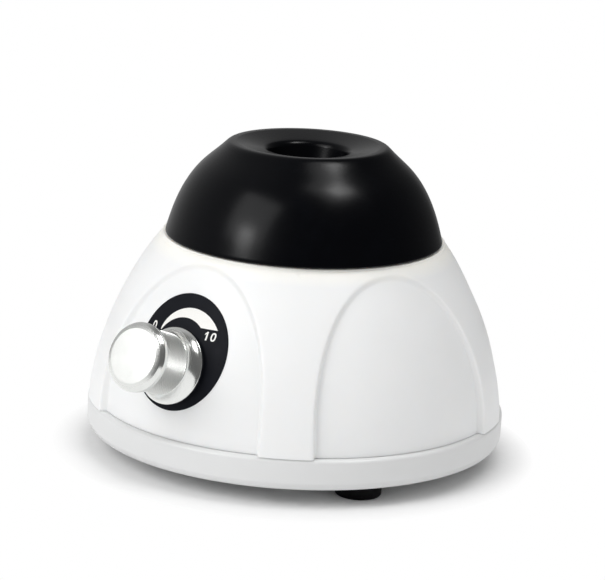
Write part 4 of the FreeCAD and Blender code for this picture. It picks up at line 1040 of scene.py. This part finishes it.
class ShakerColours(bpy.types.PropertyGroup):
    housing: FloatVectorProperty(
        name="Housing", description="Colour of the white housing",
        subtype="COLOR", default=(0.88, 0.885, 0.885),
    )
    # Lip colour: paler than the housing, as painted light against the shade under the cup
    lip: FloatVectorProperty(
        name="Lip", description="Warmer colour of the housing's lip",
        subtype="COLOR", default=(0.98, 0.965, 0.9),
    )
    ring: FloatVectorProperty(
        name="Ring", description="Colour of the base ring",
        subtype="COLOR", default=(0.735, 0.74, 0.74),
    )
    rubber: FloatVectorProperty(
        name="Rubber", description="Colour of the rubber cup",
        subtype="COLOR", default=(0.0012, 0.0014, 0.0022),
    )
    dial: FloatVectorProperty(
        name="Dial", description="Colour of the dial",
        subtype="COLOR", default=(0.006, 0.007, 0.011),
    )
    ink: FloatVectorProperty(
        name="Print", description="Colour of the scale and the numerals",
        subtype="COLOR", default=(0.88, 0.87, 0.84),
    )
    knob: FloatVectorProperty(
        name="Knob", description="Colour of the knob's metal",
        subtype="COLOR", default=(0.83, 0.84, 0.82),
    )


# Operators

class SHAKER_OT_studio(bpy.types.Operator):
    """Build the table, the lamps and the camera"""
    bl_idname = "shaker.studio"
    bl_label = "Studio"

    def execute(self, context):
        make_studio(context)
        make_camera(context)
        return {"FINISHED"}


class SHAKER_OT_inner(bpy.types.Operator):
    """Give the standing and inner pieces their finishes"""
    bl_idname = "shaker.inner"
    bl_label = "Inner finishes"

    def execute(self, context):
        dress_nodes(context)
        return {"FINISHED"}


class SHAKER_OT_housing(bpy.types.Operator):
    """Build the housing with its arched recesses"""
    bl_idname = "shaker.housing"
    bl_label = "Housing"

    def execute(self, context):
        make_housing(context)
        return {"FINISHED"}


class SHAKER_OT_base(bpy.types.Operator):
    """Build the base ring and the feet"""
    bl_idname = "shaker.base"
    bl_label = "Base and feet"

    def execute(self, context):
        make_ring(context)
        make_feet(context)
        return {"FINISHED"}


class SHAKER_OT_cup(bpy.types.Operator):
    """Build the rubber cup"""
    bl_idname = "shaker.cup"
    bl_label = "Rubber cup"

    def execute(self, context):
        make_cup(context)
        return {"FINISHED"}


class SHAKER_OT_dial(bpy.types.Operator):
    """Build the dial, its scale and its numerals"""
    bl_idname = "shaker.dial"
    bl_label = "Dial"

    def execute(self, context):
        make_dial(context)
        make_scale(context)
        make_numerals(context)
        return {"FINISHED"}


class SHAKER_OT_knob(bpy.types.Operator):
    """Build the knurled speed knob"""
    bl_idname = "shaker.knob"
    bl_label = "Speed knob"

    def execute(self, context):
        make_knob(context)
        return {"FINISHED"}


class SHAKER_PT_panel(bpy.types.Panel):
    """Sizes, colours and steps of the shaker"""
    bl_idname = "SHAKER_PT_panel"
    bl_label = "Bench shaker"
    bl_space_type = "VIEW_3D"
    bl_region_type = "UI"
    bl_category = "Shaker"

    def draw(self, context):
        layout = self.layout
        for group in (context.scene.shaker_sizes, context.scene.shaker_colours):
            box = layout.box()
            for name in group.__annotations__:
                box.prop(group, name)
        for operator in OPERATORS:
            layout.operator(operator.bl_idname)


OPERATORS = (
    SHAKER_OT_studio,
    SHAKER_OT_inner,
    SHAKER_OT_housing,
    SHAKER_OT_base,
    SHAKER_OT_cup,
    SHAKER_OT_dial,
    SHAKER_OT_knob,
)
CLASSES = (ShakerSizes, ShakerColours, *OPERATORS, SHAKER_PT_panel)


def register():
    for entry in CLASSES:
        bpy.utils.register_class(entry)
    bpy.types.Scene.shaker_sizes = PointerProperty(type=ShakerSizes)
    bpy.types.Scene.shaker_colours = PointerProperty(type=ShakerColours)


def unregister():
    del bpy.types.Scene.shaker_sizes
    del bpy.types.Scene.shaker_colours
    for entry in reversed(CLASSES):
        bpy.utils.unregister_class(entry)


def main():
    register()
    bpy.ops.shaker.studio()
    bpy.ops.shaker.inner()
    bpy.ops.shaker.housing()
    bpy.ops.shaker.base()
    bpy.ops.shaker.cup()
    bpy.ops.shaker.dial()
    bpy.ops.shaker.knob()


if __name__ == "__main__":
    main()
